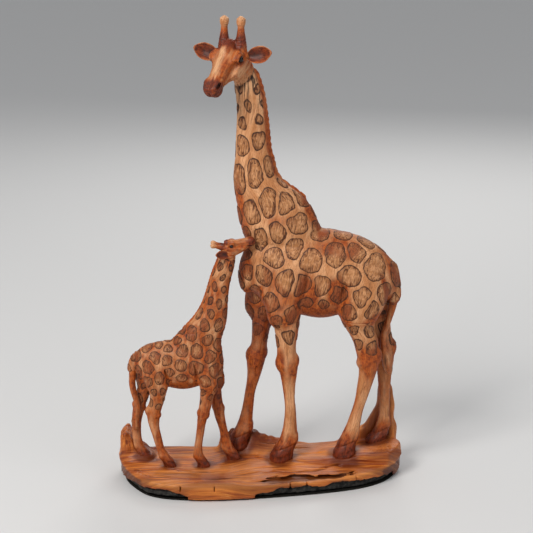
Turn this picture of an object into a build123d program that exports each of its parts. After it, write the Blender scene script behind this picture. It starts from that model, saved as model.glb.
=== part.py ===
from build123d import *

# A carved giraffe group: a standing mother and her calf on a driftwood base.
#
# Millimetres, +Z up.  The origin is the centre of the footprint, on the surface that the
# base stands on.  +X runs along the base towards the mother's rump, and -Y is the front.
# The mother faces -X and looks round to the front; the calf faces +X and nuzzles her chest.
#
# Every figure is carved in jointed sections, so that the grain runs along each limb: a torso
# block, a neck, a head and four legs, held together by hidden dowels, with the ears, horns
# and tail let in on tenons and glass bead eyes.

import os
from math import sqrt

# ---------------------------------------------------------------- driving dimensions
BASE_LENGTH = 208.0
BASE_DEPTH = 76.0
BASE_TOP = 13.0
FELT = 1.0
FELT_INSET = 3.0
BARK_DEPTH = 3.0

MOTHER_Y = 18.0
MOTHER_LEG_JOINT = 121.0
MOTHER_NECK_JOINT = 205.0
MOTHER_TAIL_JOINT = 133.0

CALF_Y = 5.0
CALF_LEG_JOINT = 70.5
CALF_NECK_JOINT = 114.0
CALF_TAIL_JOINT = 84.0

SLAB_RISE = 11.0        # how much higher the slab's right end is than its flat top
RISE_START = 10.0       # where along X that rise begins
RIDGE_TOP = 66.0        # the tip of the broken ridge at the back right
STUMP_TOP = 35.0        # the tip of the stump at the left end
BARK_HEIGHT = 7.5       # how high up the edge the bark reaches, above the felt
BARK_FRONT = (-4.0, 97.0)
BARK_LEFT = (-103.0, -52.0)

GLUE_GAP = 0.05
BEYOND = 500.0          # well past the top of the whole group
UP = (0, 0, 1)
ALONG = (1, 0, 0)
SIDE = (0, 1, 0)


# ---------------------------------------------------------------- vector and shape helpers
def unit(v):
    """The vector v at length one."""
    size = sqrt(sum(c * c for c in v))
    return tuple(c / size for c in v)


def cross(a, b):
    """The cross product of two vectors."""
    return (
        a[1] * b[2] - a[2] * b[1],
        a[2] * b[0] - a[0] * b[2],
        a[0] * b[1] - a[1] * b[0],
    )


def along(start, *moves):
    """start moved by each (vector, distance) in turn."""
    return tuple(
        start[i] + sum(vector[i] * distance for vector, distance in moves)
        for i in range(3)
    )


def oval(centre, normal, across, half_across, half_other):
    """An elliptical section at centre, facing normal, half_across wide along across."""
    return Plane(origin=centre, x_dir=across, z_dir=normal) * Ellipse(
        half_across, half_other
    )


def limb(stations):
    """A solid through level ovals, each (x, y, z, half side, half fore and aft)."""
    return loft([oval((x, y, z), UP, SIDE, s, f) for x, y, z, s, f in stations])


def trunk(y, stations):
    """A solid through upright ovals along X, each (x, z, half side, half height)."""
    return loft([oval((x, y, z), ALONG, SIDE, s, h) for x, z, s, h in stations])


def slab(low, high):
    """The space between two heights."""
    reach = 4 * BASE_LENGTH
    return Pos(0, 0, (low + high) / 2) * Box(reach, reach, high - low)


def rod(start, end, radius, gap=0.0):
    """A round rod from start to end, or with a gap the hole that it is glued into."""
    path = tuple(b - a for a, b in zip(start, end))
    length = sqrt(sum(c * c for c in path))
    way = unit(path)
    circle = Plane(origin=along(start, (way, -gap)), z_dir=way) * Circle(radius + gap)
    return extrude(circle, length + 2 * gap)


def upright(x, y, low, high, radius):
    """The ends and radius of an upright dowel."""
    return (x, y, low), (x, y, high), radius


def one(shape):
    """The largest solid of a shape, which drops the chips that a cut can leave."""
    return max(shape.solids(), key=lambda s: s.volume)


def holes(dowels):
    """The holes for dowels, each (start, end, radius), with room for glue."""
    return [rod(*dowel, gap=GLUE_GAP) for dowel in dowels]


class Head:
    """A head's own axes: forward to the muzzle, left of the animal, and crown above."""

    def __init__(self, centre, forward, left):
        self.centre = centre
        self.forward = unit(forward)
        self.crown = unit(cross(self.forward, left))
        self.left = cross(self.crown, self.forward)

    def at(self, forward, left=0.0, crown=0.0):
        """A point in the head's own axes."""
        return along(
            self.centre,
            (self.forward, forward),
            (self.left, left),
            (self.crown, crown),
        )

    def way(self, forward, left=0.0, crown=0.0):
        """A direction in the head's own axes."""
        moves = ((self.forward, forward), (self.left, left), (self.crown, crown))
        return unit(along((0, 0, 0), *moves))

    def skull(self, stations):
        """A solid through ovals across the head, each (forward, crown, half side, half height)."""
        return loft(
            [
                oval(self.at(t, 0, c), self.forward, self.left, s, h)
                for t, c, s, h in stations
            ]
        )


def ear(root, way, face, stations, tenon, tenon_radius):
    """A leaf through ovals along way, each (distance, half width, half thickness), with a tenon."""
    face = unit(face)
    across = unit(cross(way, face))
    leaf = loft(
        [oval(along(root, (way, d)), way, across, w, t) for d, w, t in stations]
    )
    return leaf + rod(along(root, (way, -tenon)), along(root, (way, 1.0)), tenon_radius)


def horn(root, way, stations, tenon, tenon_radius):
    """A round horn through circles along way, each (distance, radius), with a tenon."""
    across = unit(cross(way, SIDE))
    shaft = loft([oval(along(root, (way, d)), way, across, r, r) for d, r in stations])
    return shaft + rod(
        along(root, (way, -tenon)), along(root, (way, 1.0)), tenon_radius
    )


# ---------------------------------------------------------------- the figures
def figure(name, plan):
    """The sections, dowels and eyes of one animal, from its plan."""
    torso = plan["trunk"]
    legs = {}
    for leg, stations in plan["legs"].items():
        whole = limb(stations)
        torso += whole & slab(plan["leg_joint"], BEYOND)
        legs[leg] = one(whole & slab(0, plan["leg_joint"]))
    neck = limb(plan["neck"])
    torso += neck & slab(plan["leg_joint"], plan["neck_joint"])
    neck = neck & slab(plan["neck_joint"], BEYOND)
    tail = limb(plan["tail"])
    torso += tail & slab(plan["tail_joint"], BEYOND)
    tail = tail & slab(0, plan["tail_joint"])

    head = plan["head"]
    skull = head.skull(plan["skull"])
    eyes = {
        side: Pos(*head.at(*place)) * Sphere(plan["eye_radius"])
        for side, place in plan["eyes"].items()
    }

    neck_dowel = upright(*plan["neck_dowel"])
    head_dowel = plan["head_dowel"]
    leg_dowels = [upright(*peg) for peg in plan["leg_dowels"]]
    foot_pegs = [upright(*peg) for peg in plan["foot_pegs"]]
    tail_tenon = upright(*plan["tail_tenon"])

    for cutter in holes([neck_dowel, tail_tenon, *leg_dowels]):
        torso -= cutter
    for cutter in holes([neck_dowel, head_dowel]):
        neck -= cutter
    for trim in plan["trims"].values():
        neck -= trim
    skull -= neck
    for cutter in [*plan["trims"].values(), *eyes.values(), *holes([head_dowel])]:
        skull -= cutter
    for leg in legs:
        for cutter in holes([*leg_dowels, *foot_pegs]):
            legs[leg] -= cutter
        tail -= legs[leg]

    parts = {
        "torso": one(torso),
        "neck": one(neck),
        "head": one(skull),
        "tail": one(tail + rod(*tail_tenon)),
        "neck_dowel": rod(*neck_dowel),
        "head_dowel": rod(*head_dowel),
        "leg_dowels": Compound(children=[rod(*peg) for peg in leg_dowels]),
        "foot_pegs": Compound(children=[rod(*peg) for peg in foot_pegs]),
    }
    parts.update({trim: one(shape) for trim, shape in plan["trims"].items()})
    parts.update({f"eye_{side}": ball for side, ball in eyes.items()})
    parts.update({f"leg_{leg}": one(shape) for leg, shape in legs.items()})
    return {f"{name}_{part}": shape for part, shape in parts.items()}


def mother():
    """The mother, who faces -X and turns her head to the front."""
    head = Head(
        centre=(-23.0, 8.0, 308.8),
        forward=(-0.416, -0.72, -0.551),
        left=(0.866, -0.5, 0),
    )
    leaf = [
        (0, 2.4, 1.8),
        (4.5, 4.2, 2.1),
        (9.5, 5.4, 2.2),
        (14, 4.8, 1.8),
        (17.5, 2.9, 1.3),
        (19.2, 1.0, 0.6),
    ]
    spike = [
        (0, 4.1),
        (4, 3.9),
        (9, 3.2),
        (13.5, 2.8),
        (17, 2.9),
        (19.3, 3.2),
        (20.9, 2.6),
        (21.6, 1.3),
    ]
    ear_tenon = (2.0, 1.3)
    horn_tenon = (1.5, 1.6)
    horn_way = head.way(-0.554, 0, 0.835)
    return figure(
        "mother",
        {
            "leg_joint": MOTHER_LEG_JOINT,
            "neck_joint": MOTHER_NECK_JOINT,
            "tail_joint": MOTHER_TAIL_JOINT,
            "trunk": trunk(
                MOTHER_Y,
                [
                    (-12.0, 163, 6, 9),
                    (-8.0, 162, 11, 18),
                    (0.0, 159, 15, 24),
                    (12.0, 157, 17.5, 29),
                    (28.0, 156, 18.5, 31),
                    (45.0, 155, 19, 31.5),
                    (60.0, 155, 19, 29),
                    (75.0, 154, 17.5, 25),
                    (88.0, 151, 13.5, 19),
                    (95.0, 149, 8.5, 12),
                    (98.5, 147, 4, 5),
                ],
            ),
            "neck": [
                (17.0, MOTHER_Y, 178, 15, 27),
                (14.5, MOTHER_Y, 186, 16, 28),
                (12.0, MOTHER_Y, 194.5, 16, 27.7),
                (9.3, MOTHER_Y, 203, 15, 26.3),
                (5.1, MOTHER_Y, 212, 14, 23.2),
                (-1.5, MOTHER_Y, 221, 12.5, 17.5),
                (-4.5, MOTHER_Y, 230, 11, 14.4),
                (-5.4, MOTHER_Y, 242, 9.6, 12.2),
                (-6.0, MOTHER_Y, 255, 8.8, 11.3),
                (-6.4, MOTHER_Y, 268, 8.2, 10.3),
                (-7.5, MOTHER_Y, 280, 7.8, 9.7),
                (-9.5, MOTHER_Y - 0.5, 291, 7.4, 9.0),
                (-11.5, MOTHER_Y - 1.0, 299, 6.8, 8.0),
                (-13.5, MOTHER_Y - 1.8, 306, 6.0, 6.5),
                (-15.5, MOTHER_Y - 2.5, 312, 4.6, 4.6),
            ],
            "tail": [
                (91.0, MOTHER_Y, 164, 2.5, 4),
                (94.0, MOTHER_Y, 154, 3.4, 4.4),
                (95.7, MOTHER_Y, 143, 3.6, 4),
                (96.0, MOTHER_Y, 133, 3.2, 3.2),
                (94.0, MOTHER_Y, 123, 2.6, 2.6),
                (91.3, MOTHER_Y, 114, 2.4, 2.4),
                (89.0, MOTHER_Y, 105, 2.3, 2.3),
                (89.6, MOTHER_Y, 96, 2.6, 2.7),
                (91.8, MOTHER_Y, 88, 3.0, 3.8),
                (93.4, MOTHER_Y, 81, 2.8, 3.4),
                (95.0, MOTHER_Y, 76, 1.2, 1.2),
            ],
            "tail_tenon": (95.9, MOTHER_Y, 131, 139, 1.5),
            "legs": {
                "front_left": [
                    (10.0, 9.4, 150, 8, 12),
                    (12.5, 8.6, 142, 9.2, 14),
                    (15.0, 8.2, 134, 9.4, 13.3),
                    (17.3, 8.3, 125, 8.8, 10.8),
                    (18.4, 8.8, 116, 8, 9),
                    (18.4, 9.2, 107, 7.0, 7.6),
                    (18.5, 9.5, 98, 6.6, 6.9),
                    (19.2, 9.5, 89, 7.0, 7.6),
                    (20.0, 9.5, 80, 5.8, 6.2),
                    (20.3, 9.5, 71, 4.6, 4.8),
                    (20.9, 9.5, 61, 4.1, 4.1),
                    (21.5, 9.5, 52, 4.1, 4.1),
                    (21.4, 9.5, 43, 4.6, 4.8),
                    (20.8, 9.3, 34, 5.5, 5.8),
                    (18.8, 9.0, 27, 6.4, 7.0),
                    (15.8, 9.0, 20, 7.4, 8.3),
                    (14.3, 9.0, 12, 8.0, 9.4),
                ],
                "front_right": [
                    (2.0, 27, 150, 8, 11),
                    (2.6, 27.8, 141, 8.8, 11.8),
                    (2.4, 28, 132, 8.6, 10.8),
                    (1.6, 27.9, 123.5, 7.9, 8.8),
                    (0.7, 27.5, 115, 7.2, 7.4),
                    (-0.4, 27, 106, 6.5, 6.3),
                    (-1.5, 27, 97, 6.2, 6),
                    (-3.4, 27, 88, 6.8, 7),
                    (-4.5, 27, 79, 5.6, 5.9),
                    (-6.2, 27, 69, 4.5, 4.5),
                    (-8.2, 27, 60, 3.9, 3.9),
                    (-9.6, 27, 50, 4.0, 4.1),
                    (-11.0, 27, 41, 4.6, 4.8),
                    (-12.8, 26.5, 33, 5.5, 6.0),
                    (-15.8, 26, 26, 6.4, 7.2),
                    (-17.8, 25.5, 20, 7.0, 8.0),
                    (-18.6, 25.5, 15, 7.2, 8.4),
                ],
                "hind_left": [
                    (75.0, 10, 152, 7, 12),
                    (74.5, 9, 145, 9, 15.5),
                    (73.0, 8.2, 137, 10.3, 17),
                    (71.0, 8, 129, 10.5, 15.5),
                    (70.3, 8.5, 121.5, 9.5, 12.8),
                    (71.8, 9, 114, 8.0, 10.2),
                    (75.0, 9, 107, 7.4, 9.2),
                    (77.0, 9.2, 98, 6.8, 8.4),
                    (78.0, 9.3, 90, 6.6, 7.6),
                    (77.8, 9.4, 83, 6.0, 6.6),
                    (76.3, 9.4, 75, 5.2, 5.7),
                    (74.3, 9.4, 66, 4.5, 4.9),
                    (72.0, 9.3, 57, 4.1, 4.2),
                    (69.5, 9.2, 48, 4.3, 4.4),
                    (67.2, 9, 39, 5.0, 5.4),
                    (64.5, 9, 31, 5.8, 6.4),
                    (62.2, 9, 24, 6.7, 7.5),
                    (60.6, 9, 15, 7.4, 8.8),
                ],
                "hind_right": [
                    (81.0, 26.5, 152, 7, 10),
                    (82.0, 27.5, 145, 9, 13),
                    (83.0, 28, 137, 9.6, 13.4),
                    (83.9, 27.9, 129, 9.3, 12.2),
                    (84.3, 27.5, 121.5, 8.6, 10.9),
                    (85.2, 27, 114, 7.6, 9.6),
                    (87.5, 27, 105, 6.8, 8.4),
                    (90.0, 27, 96, 6.4, 7.6),
                    (91.2, 27, 88, 6.2, 7),
                    (91.3, 27, 78, 5.4, 5.8),
                    (91.4, 27, 69, 4.8, 4.9),
                    (91.6, 27, 60, 4.4, 4.4),
                    (91.8, 27, 50, 4.0, 4.1),
                    (91.5, 27, 41, 4.2, 4.3),
                    (90.4, 26.8, 33, 5.0, 5.4),
                    (88.0, 26.5, 27, 6.0, 6.8),
                    (86.0, 26, 19, 6.8, 8.2),
                ],
            },
            "neck_dowel": (1.0, MOTHER_Y, 190, 222, 3.0),
            "head_dowel": ((-11.0, MOTHER_Y - 1.5, 297), (-16.5, MOTHER_Y - 4.0, 310.5), 1.8),
            "leg_dowels": [
                (18.0, 8.7, 111, 131, 2.2),
                (1.2, 27.6, 111, 131, 2.2),
                (71.0, 8.6, 111, 131, 2.2),
                (84.4, 27.3, 111, 131, 2.2),
            ],
            "foot_pegs": [
                (17.6, 9.0, 5, 30, 1.6),
                (-15.8, 26.0, 5, 28, 1.6),
                (62.8, 9.0, 5, 30, 1.6),
                (87.5, 26.3, 6, 31, 1.6),
            ],
            "head": head,
            "skull": [
                (-14.0, -3.6, 5.5, 6.5),
                (-10.0, -3.6, 9.8, 9.4),
                (-4.5, -3.8, 11.6, 10.0),
                (2.0, -4.5, 11.4, 9.6),
                (8.0, -4.6, 9.4, 8.8),
                (14.0, -4.5, 7.2, 7.4),
                (20.0, -4.2, 6.0, 6.2),
                (25.0, -4.2, 6.2, 6.0),
                (29.0, -4.6, 5.8, 5.6),
                (31.5, -5.0, 3.6, 3.6),
            ],
            "eyes": {"left": (0.5, 10.6, 0.0), "right": (0.5, -10.6, 0.0)},
            "eye_radius": 2.3,
            "trims": {
                "ear_left": ear(
                    head.at(-7.0, 10.6, -4.2),
                    (0.93, -0.3, 0.2),
                    (-0.1, -0.95, 0.2),
                    leaf,
                    *ear_tenon,
                ),
                "ear_right": ear(
                    head.at(-6.5, -11.4, -4.5),
                    (-0.92, 0.25, 0.31),
                    (-0.3, -0.9, 0.2),
                    leaf,
                    *ear_tenon,
                ),
                "horn_left": horn(head.at(-9.4, 6.7, 0.8), horn_way, spike, *horn_tenon),
                "horn_right": horn(head.at(-9.4, -6.7, 0.8), horn_way, spike, *horn_tenon),
            },
        },
    )


def calf():
    """The calf, who faces +X and lifts her muzzle to the mother's chest."""
    head = Head(centre=(-21.5, 4.0, 176.5), forward=(0.93, -0.04, 0.36), left=(0.0, 1.0, 0.11))
    leaf = [(0, 1.5, 1.1), (2.5, 2.4, 1.3), (5.5, 3.0, 1.4), (8.0, 2.5, 1.1), (10.0, 0.9, 0.5)]
    spike = [(0, 2.5), (3, 2.2), (6, 1.9), (8.2, 2.0), (9.8, 2.2), (10.8, 1.6), (11.2, 0.8)]
    ear_tenon = (2.0, 0.8)
    horn_tenon = (1.5, 0.9)
    return figure(
        "calf",
        {
            "leg_joint": CALF_LEG_JOINT,
            "neck_joint": CALF_NECK_JOINT,
            "tail_joint": CALF_TAIL_JOINT,
            "trunk": trunk(
                CALF_Y,
                [
                    (-90.5, 91, 3, 4),
                    (-87.5, 91, 7, 9.5),
                    (-82.0, 90, 9.5, 13.5),
                    (-73.0, 89.5, 11, 16.5),
                    (-62.0, 89.5, 11.5, 17.5),
                    (-52.0, 90, 11.7, 18),
                    (-43.0, 92, 11.2, 18.5),
                    (-36.0, 94, 9.8, 17),
                    (-31.0, 95, 7.2, 13),
                    (-28.0, 95.5, 3.5, 6.5),
                ],
            ),
            "neck": [
                (-48.0, CALF_Y, 101, 9.5, 18.5),
                (-45.5, CALF_Y, 109, 9.5, 17.3),
                (-39.8, CALF_Y, 118, 8.6, 14.3),
                (-35.2, CALF_Y, 127, 7.4, 11.2),
                (-32.5, CALF_Y, 136, 6.6, 8.9),
                (-30.5, CALF_Y, 145, 6.0, 7.8),
                (-28.6, CALF_Y, 153, 5.6, 7.4),
                (-25.8, CALF_Y - 0.3, 162, 5.3, 7.0),
                (-24.0, CALF_Y - 0.7, 169, 4.7, 6.0),
                (-22.8, CALF_Y - 1.0, 175, 3.6, 4.4),
            ],
            "tail": [
                (-86.0, CALF_Y, 99, 1.6, 2.6),
                (-90.6, CALF_Y, 94, 2.4, 3.0),
                (-92.6, CALF_Y, 89, 2.4, 2.7),
                (-93.2, CALF_Y, 81, 2.3, 2.5),
                (-93.3, CALF_Y, 73, 2.2, 2.4),
                (-91.8, CALF_Y, 65, 2.0, 2.3),
                (-90.2, CALF_Y, 58, 2.0, 2.2),
                (-90.6, CALF_Y, 51, 2.2, 2.7),
                (-91.6, CALF_Y, 44, 2.3, 3.0),
                (-92.2, CALF_Y, 38, 1.0, 1.2),
            ],
            "tail_tenon": (-93.0, CALF_Y, 82, 88, 1.0),
            "legs": {
                "front_right": [
                    (-39.0, 1, 95, 5, 7.6),
                    (-38.6, -0.1, 86, 5.8, 8),
                    (-38.6, -0.8, 76, 5.0, 5.8),
                    (-39.2, -1, 66, 4.4, 4.8),
                    (-40.6, -1, 58, 4.2, 4.4),
                    (-41.9, -1, 52.5, 3.8, 4.0),
                    (-43.1, -1, 46.5, 3.1, 3.3),
                    (-44.4, -1, 37.5, 2.8, 2.9),
                    (-45.7, -1, 29, 2.8, 2.9),
                    (-45.9, -1, 23.5, 3.2, 3.4),
                    (-44.2, -1, 18, 3.7, 4.2),
                    (-42.4, -1, 11, 4.3, 5.2),
                ],
                "front_left": [
                    (-38.2, 9, 95, 5, 7),
                    (-36.8, 10.2, 86, 5.6, 7.5),
                    (-34.8, 10.8, 76, 4.9, 5.6),
                    (-33.3, 11, 66, 4.1, 4.4),
                    (-32.2, 11, 58, 3.9, 4.1),
                    (-31.0, 11, 51, 3.8, 4.0),
                    (-29.2, 11, 42, 3.1, 3.3),
                    (-27.2, 11, 33, 3.0, 3.2),
                    (-25.6, 11, 25.5, 3.5, 3.9),
                    (-22.8, 11, 19.5, 4.0, 4.7),
                    (-20.4, 11, 12.5, 4.4, 5.6),
                ],
                "hind_right": [
                    (-76.5, 1, 93, 4.6, 8.5),
                    (-76.5, 0, 87, 5.6, 10.2),
                    (-75.8, -0.6, 81, 5.9, 9.6),
                    (-74.8, -0.9, 75.5, 5.3, 7.7),
                    (-74.4, -1, 70, 4.8, 6.3),
                    (-74.9, -1, 64.5, 4.3, 5.4),
                    (-76.6, -1, 59, 4.1, 5.3),
                    (-77.8, -1, 53, 3.8, 4.9),
                    (-78.0, -1, 47.5, 3.4, 4.2),
                    (-77.0, -1, 41, 3.0, 3.5),
                    (-75.4, -1, 34.5, 2.9, 3.2),
                    (-73.7, -1, 27.5, 2.8, 3.0),
                    (-71.3, -1, 22, 3.3, 3.6),
                    (-68.0, -1, 16.5, 3.8, 4.5),
                    (-65.4, -1, 10.5, 4.2, 5.4),
                ],
                "hind_left": [
                    (-79.0, 9, 93, 4.6, 8),
                    (-80.0, 10, 87, 5.5, 9.3),
                    (-81.2, 10.6, 81, 5.6, 8.8),
                    (-82.5, 10.9, 75.5, 5.1, 7.3),
                    (-84.2, 11, 70, 4.6, 6.1),
                    (-86.5, 11, 63.5, 4.1, 5.0),
                    (-88.8, 11, 56, 3.7, 4.5),
                    (-90.5, 11, 49, 3.4, 4.1),
                    (-91.5, 11, 42, 3.1, 3.6),
                    (-91.7, 11, 35, 3.0, 3.4),
                    (-91.1, 11, 28, 3.0, 3.5),
                    (-89.0, 11, 22, 3.5, 4.1),
                    (-85.6, 11, 14, 4.2, 5.2),
                ],
            },
            "neck_dowel": (-43.0, CALF_Y, 103, 125, 2.0),
            "head_dowel": ((-23.6, CALF_Y - 0.8, 169), (-21.9, CALF_Y - 1.0, 179), 1.2),
            "leg_dowels": [
                (-38.9, -0.9, 63, 78, 1.5),
                (-34.0, 10.9, 64, 77, 1.5),
                (-74.7, -0.9, 63, 78, 1.5),
                (-83.8, 10.9, 65, 76, 1.5),
            ],
            "foot_pegs": [
                (-44.0, -1.0, 5, 23, 0.9),
                (-22.6, 11.0, 5, 23, 0.9),
                (-67.6, -1.0, 5, 20, 0.9),
                (-87.4, 11.0, 5, 23, 0.9),
            ],
            "head": head,
            "skull": [
                (-6.0, -1.8, 3.3, 3.8),
                (-3.5, -1.4, 4.9, 5.3),
                (0.0, -1.2, 5.3, 5.9),
                (4.0, -1.5, 4.7, 5.4),
                (8.5, -1.5, 3.8, 4.5),
                (12.5, -1.2, 3.2, 3.7),
                (15.5, -1.2, 3.1, 3.3),
                (17.8, -1.6, 2.0, 2.1),
            ],
            "eyes": {"right": (1.5, -4.4, 1.6), "left": (1.5, 4.4, 1.6)},
            "eye_radius": 1.3,
            "trims": {
                "ear_right": ear(
                    head.at(-3.0, -4.5, -3.4),
                    (-0.9, -0.42, 0.06),
                    (0.35, -0.9, 0.2),
                    leaf,
                    *ear_tenon,
                ),
                "ear_left": ear(
                    head.at(-3.0, 4.5, -3.4),
                    (-0.72, 0.68, 0.06),
                    (0.6, 0.75, 0.2),
                    leaf,
                    *ear_tenon,
                ),
                "horn_right": horn(
                    head.at(-3.0, -2.6, 0.4),
                    head.way(-0.79, -0.06, 0.61),
                    spike,
                    *horn_tenon,
                ),
                "horn_left": horn(
                    head.at(-3.0, 2.6, 0.4),
                    head.way(-0.79, 0.06, 0.61),
                    spike,
                    *horn_tenon,
                ),
            },
        },
    )


# ---------------------------------------------------------------- the base
def outline(inset=0.0):
    """The base's footprint, an irregular slab with a rounded front left corner, or one inside it."""
    left_end = (-BASE_LENGTH / 2, 20)
    right_end = (BASE_LENGTH / 2, 22)
    half_depth = BASE_DEPTH / 2
    front = [
        left_end,
        (-101, 0),
        (-94, -14),
        (-82, -29),
        (-62, -36.5),
        (-42, -half_depth),
        (-10, -35.5),
        (26, -29),
        (58, -21),
        (84, -9),
        (99, 8),
        right_end,
    ]
    back = [
        right_end,
        (97, 33),
        (70, 37),
        (20, half_depth),
        (-40, 37),
        (-86, 36),
        (-99, 31),
        left_end,
    ]
    shrink_x = 1 - inset / (BASE_LENGTH / 2)
    shrink_y = 1 - inset / half_depth
    edges = [Spline(*[(x * shrink_x, y * shrink_y) for x, y in side]) for side in (front, back)]
    return make_face(edges)


def profile_wall(points, low_y, high_y):
    """A wall whose side view is the polygon of (x, z) points, between two depths."""
    face = Plane.XZ * make_face(Polyline(*points, close=True))
    return Pos(0, high_y, 0) * extrude(face, high_y - low_y)


def base_block():
    """The driftwood slab: a flat left half, a right end that rises, and broken stumps."""
    prism = Pos(0, 0, FELT) * extrude(outline(), RIDGE_TOP)
    block = prism & slab(FELT, BASE_TOP)
    end = BASE_LENGTH / 2 + 6
    root = BASE_TOP - 5
    rise = profile_wall(
        [
            (RISE_START, BASE_TOP),
            (60, BASE_TOP + 5),
            (end, BASE_TOP + SLAB_RISE),
            (end, FELT),
            (RISE_START, FELT),
        ],
        0,
        BASE_DEPTH,
    )
    ridge = profile_wall(
        [
            (54, 16),
            (78, 32),
            (91, 56),
            (95, RIDGE_TOP),
            (99, 60),
            (102, 46),
            (104, 20),
            (104, root),
            (54, root),
        ],
        30,
        38,
    )
    stump = profile_wall(
        [(-104, root), (-104, 33), (-99, STUMP_TOP), (-94, 26), (-84, 15), (-78, root)], 8, 32
    )
    mound = limb(
        [
            (-14, 30, 8, 14, 26),
            (-13, 30, 14, 11, 21),
            (-11, 31, 21, 8, 13),
            (-9, 32, 28, 3.5, 6),
        ]
    )
    for raised in (rise, ridge, stump, mound):
        block += raised & prism
    return block


def bark(block, low_x, high_x):
    """The bark left on the front edge of the slab between two places along it."""
    rim = Pos(0, 0, FELT) * extrude(outline(), BARK_HEIGHT)
    rim -= extrude(outline(BARK_DEPTH), BARK_HEIGHT + 2 * FELT)
    window = Box(high_x - low_x, BASE_DEPTH, 4 * BARK_HEIGHT)
    window = Pos((low_x + high_x) / 2, 10 - BASE_DEPTH / 2, 0) * window
    return one(rim & window & block)


def base_parts(feet):
    """The base with sockets for the feet, the bark on its edge and the felt below it."""
    block = base_block()
    barks = {
        "bark_front": bark(block, *BARK_FRONT),
        "bark_left": bark(block, *BARK_LEFT),
    }
    for cutter in [*barks.values(), *feet]:
        block -= cutter
    felt = extrude(outline(FELT_INSET), FELT)
    return {"base": one(block), "base_felt": felt, **barks}


# ---------------------------------------------------------------- the whole group
def build():
    """Every node of the group, by name."""
    parts = {**mother(), **calf()}
    feet = [shape for name, shape in parts.items() if "_leg_" in name and "dowels" not in name]
    pegs = [parts["mother_foot_pegs"], parts["calf_foot_pegs"]]
    parts.update(base_parts([*feet, *pegs]))
    return parts


os.makedirs("parts", exist_ok=True)
for node, shape in build().items():
    export_step(shape, f"parts/{node}.step")
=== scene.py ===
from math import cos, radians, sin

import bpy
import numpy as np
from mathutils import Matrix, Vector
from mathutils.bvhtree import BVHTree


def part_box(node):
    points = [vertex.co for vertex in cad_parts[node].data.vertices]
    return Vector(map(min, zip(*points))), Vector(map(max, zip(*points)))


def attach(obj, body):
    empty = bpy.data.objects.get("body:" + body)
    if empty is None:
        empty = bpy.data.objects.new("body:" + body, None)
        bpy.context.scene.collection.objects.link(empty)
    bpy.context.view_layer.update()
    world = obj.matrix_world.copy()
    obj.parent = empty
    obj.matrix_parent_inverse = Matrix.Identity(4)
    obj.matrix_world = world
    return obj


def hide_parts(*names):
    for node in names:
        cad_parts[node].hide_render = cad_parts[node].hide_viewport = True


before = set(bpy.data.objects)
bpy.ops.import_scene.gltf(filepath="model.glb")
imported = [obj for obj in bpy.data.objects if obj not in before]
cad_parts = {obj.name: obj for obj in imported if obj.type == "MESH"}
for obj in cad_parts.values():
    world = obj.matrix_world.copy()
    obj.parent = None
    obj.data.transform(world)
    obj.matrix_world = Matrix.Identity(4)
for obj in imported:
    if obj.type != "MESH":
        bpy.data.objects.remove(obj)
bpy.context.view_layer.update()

# The looks of the carved giraffe group.  Every figure is one lump of clay that starts from its
# CAD nodes, gets its muscles, folds and features, and is then divided at the same joints as the
# CAD.  Lengths are millimetres in the clay and metres in Blender.  The pieces are finished with
# procedural wood, driven by a few values that are worked out at every vertex.

MM = 1000.0
FAR = 12.0                 # the distance field's value well away from any shape
NODE_MARGIN = 5.0          # how far round a CAD node its distances are worked out
NODE_BAND = 1.6            # how near a CAD node's surface they are exact
TUCK = 1.5                 # how far a piece runs on inside its neighbour at a joint
TUCK_SHRINK = 0.15         # how much thinner it is there
UP = np.array((0.0, 0.0, 1.0))
OBLIQUE = Vector((0.137, 0.071, 0.988)).normalized()
FINE = 1.0

BODY_STEP = {"mother": 0.55 * FINE, "calf": 0.42 * FINE}
HEAD_STEP = {"mother": 0.34 * FINE, "calf": 0.24 * FINE}
BASE_STEP = 0.7 * FINE
HEAD_PARTS = ("head", "horn_left", "horn_right")
LEGS = ("leg_front_left", "leg_front_right", "leg_hind_left", "leg_hind_right")
random = np.random.default_rng(11)
LATTICE = random.random((32, 32, 32))


# ---------------------------------------------------------------- the CAD in millimetres
def box(node):
    """A node's lowest and highest corners."""
    return tuple(np.array(corner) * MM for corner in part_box(node))


def middle(node):
    """The middle of a node's box."""
    return sum(box(node)) / 2


def outline(nodes):
    """The lowest and highest corners over several nodes."""
    boxes = [box(node) for node in nodes]
    return np.min([pair[0] for pair in boxes], 0), np.max([pair[1] for pair in boxes], 0)


def corners(node):
    """A node's vertices."""
    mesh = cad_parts[node].data
    flat = np.empty(len(mesh.vertices) * 3, np.float32)
    mesh.vertices.foreach_get("co", flat)
    return flat.reshape(-1, 3).astype(float) * MM


def section(node, height):
    """A node at one height: x and y of its middle, and its half widths along x and y."""
    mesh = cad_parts[node].data
    flat = np.empty(len(mesh.edges) * 2, np.int32)
    mesh.edges.foreach_get("vertices", flat)
    ends = corners(node)[flat.reshape(-1, 2)]
    rise = ends[:, :, 2] - height
    crossing = rise[:, 0] * rise[:, 1] < 0
    start, end = ends[crossing, 0], ends[crossing, 1]
    share = rise[crossing, 0] / (rise[crossing, 0] - rise[crossing, 1])
    at = start + (end - start) * share[:, None]
    low, high = at.min(0), at.max(0)
    x, y, _ = (low + high) / 2
    half_x, half_y, _ = (high - low) / 2
    return x, y, half_x, half_y


def below_tenon(node):
    """The height at which a node's own body starts, below the thinner tenon at its top."""
    height = box(node)[1][2] - 0.5
    tenon = section(node, height)[2]
    while section(node, height)[2] < 1.3 * tenon:
        height -= 0.25
    return height


def unit(vector):
    """The vector at length one."""
    return np.array(vector, float) / np.linalg.norm(vector)


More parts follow.
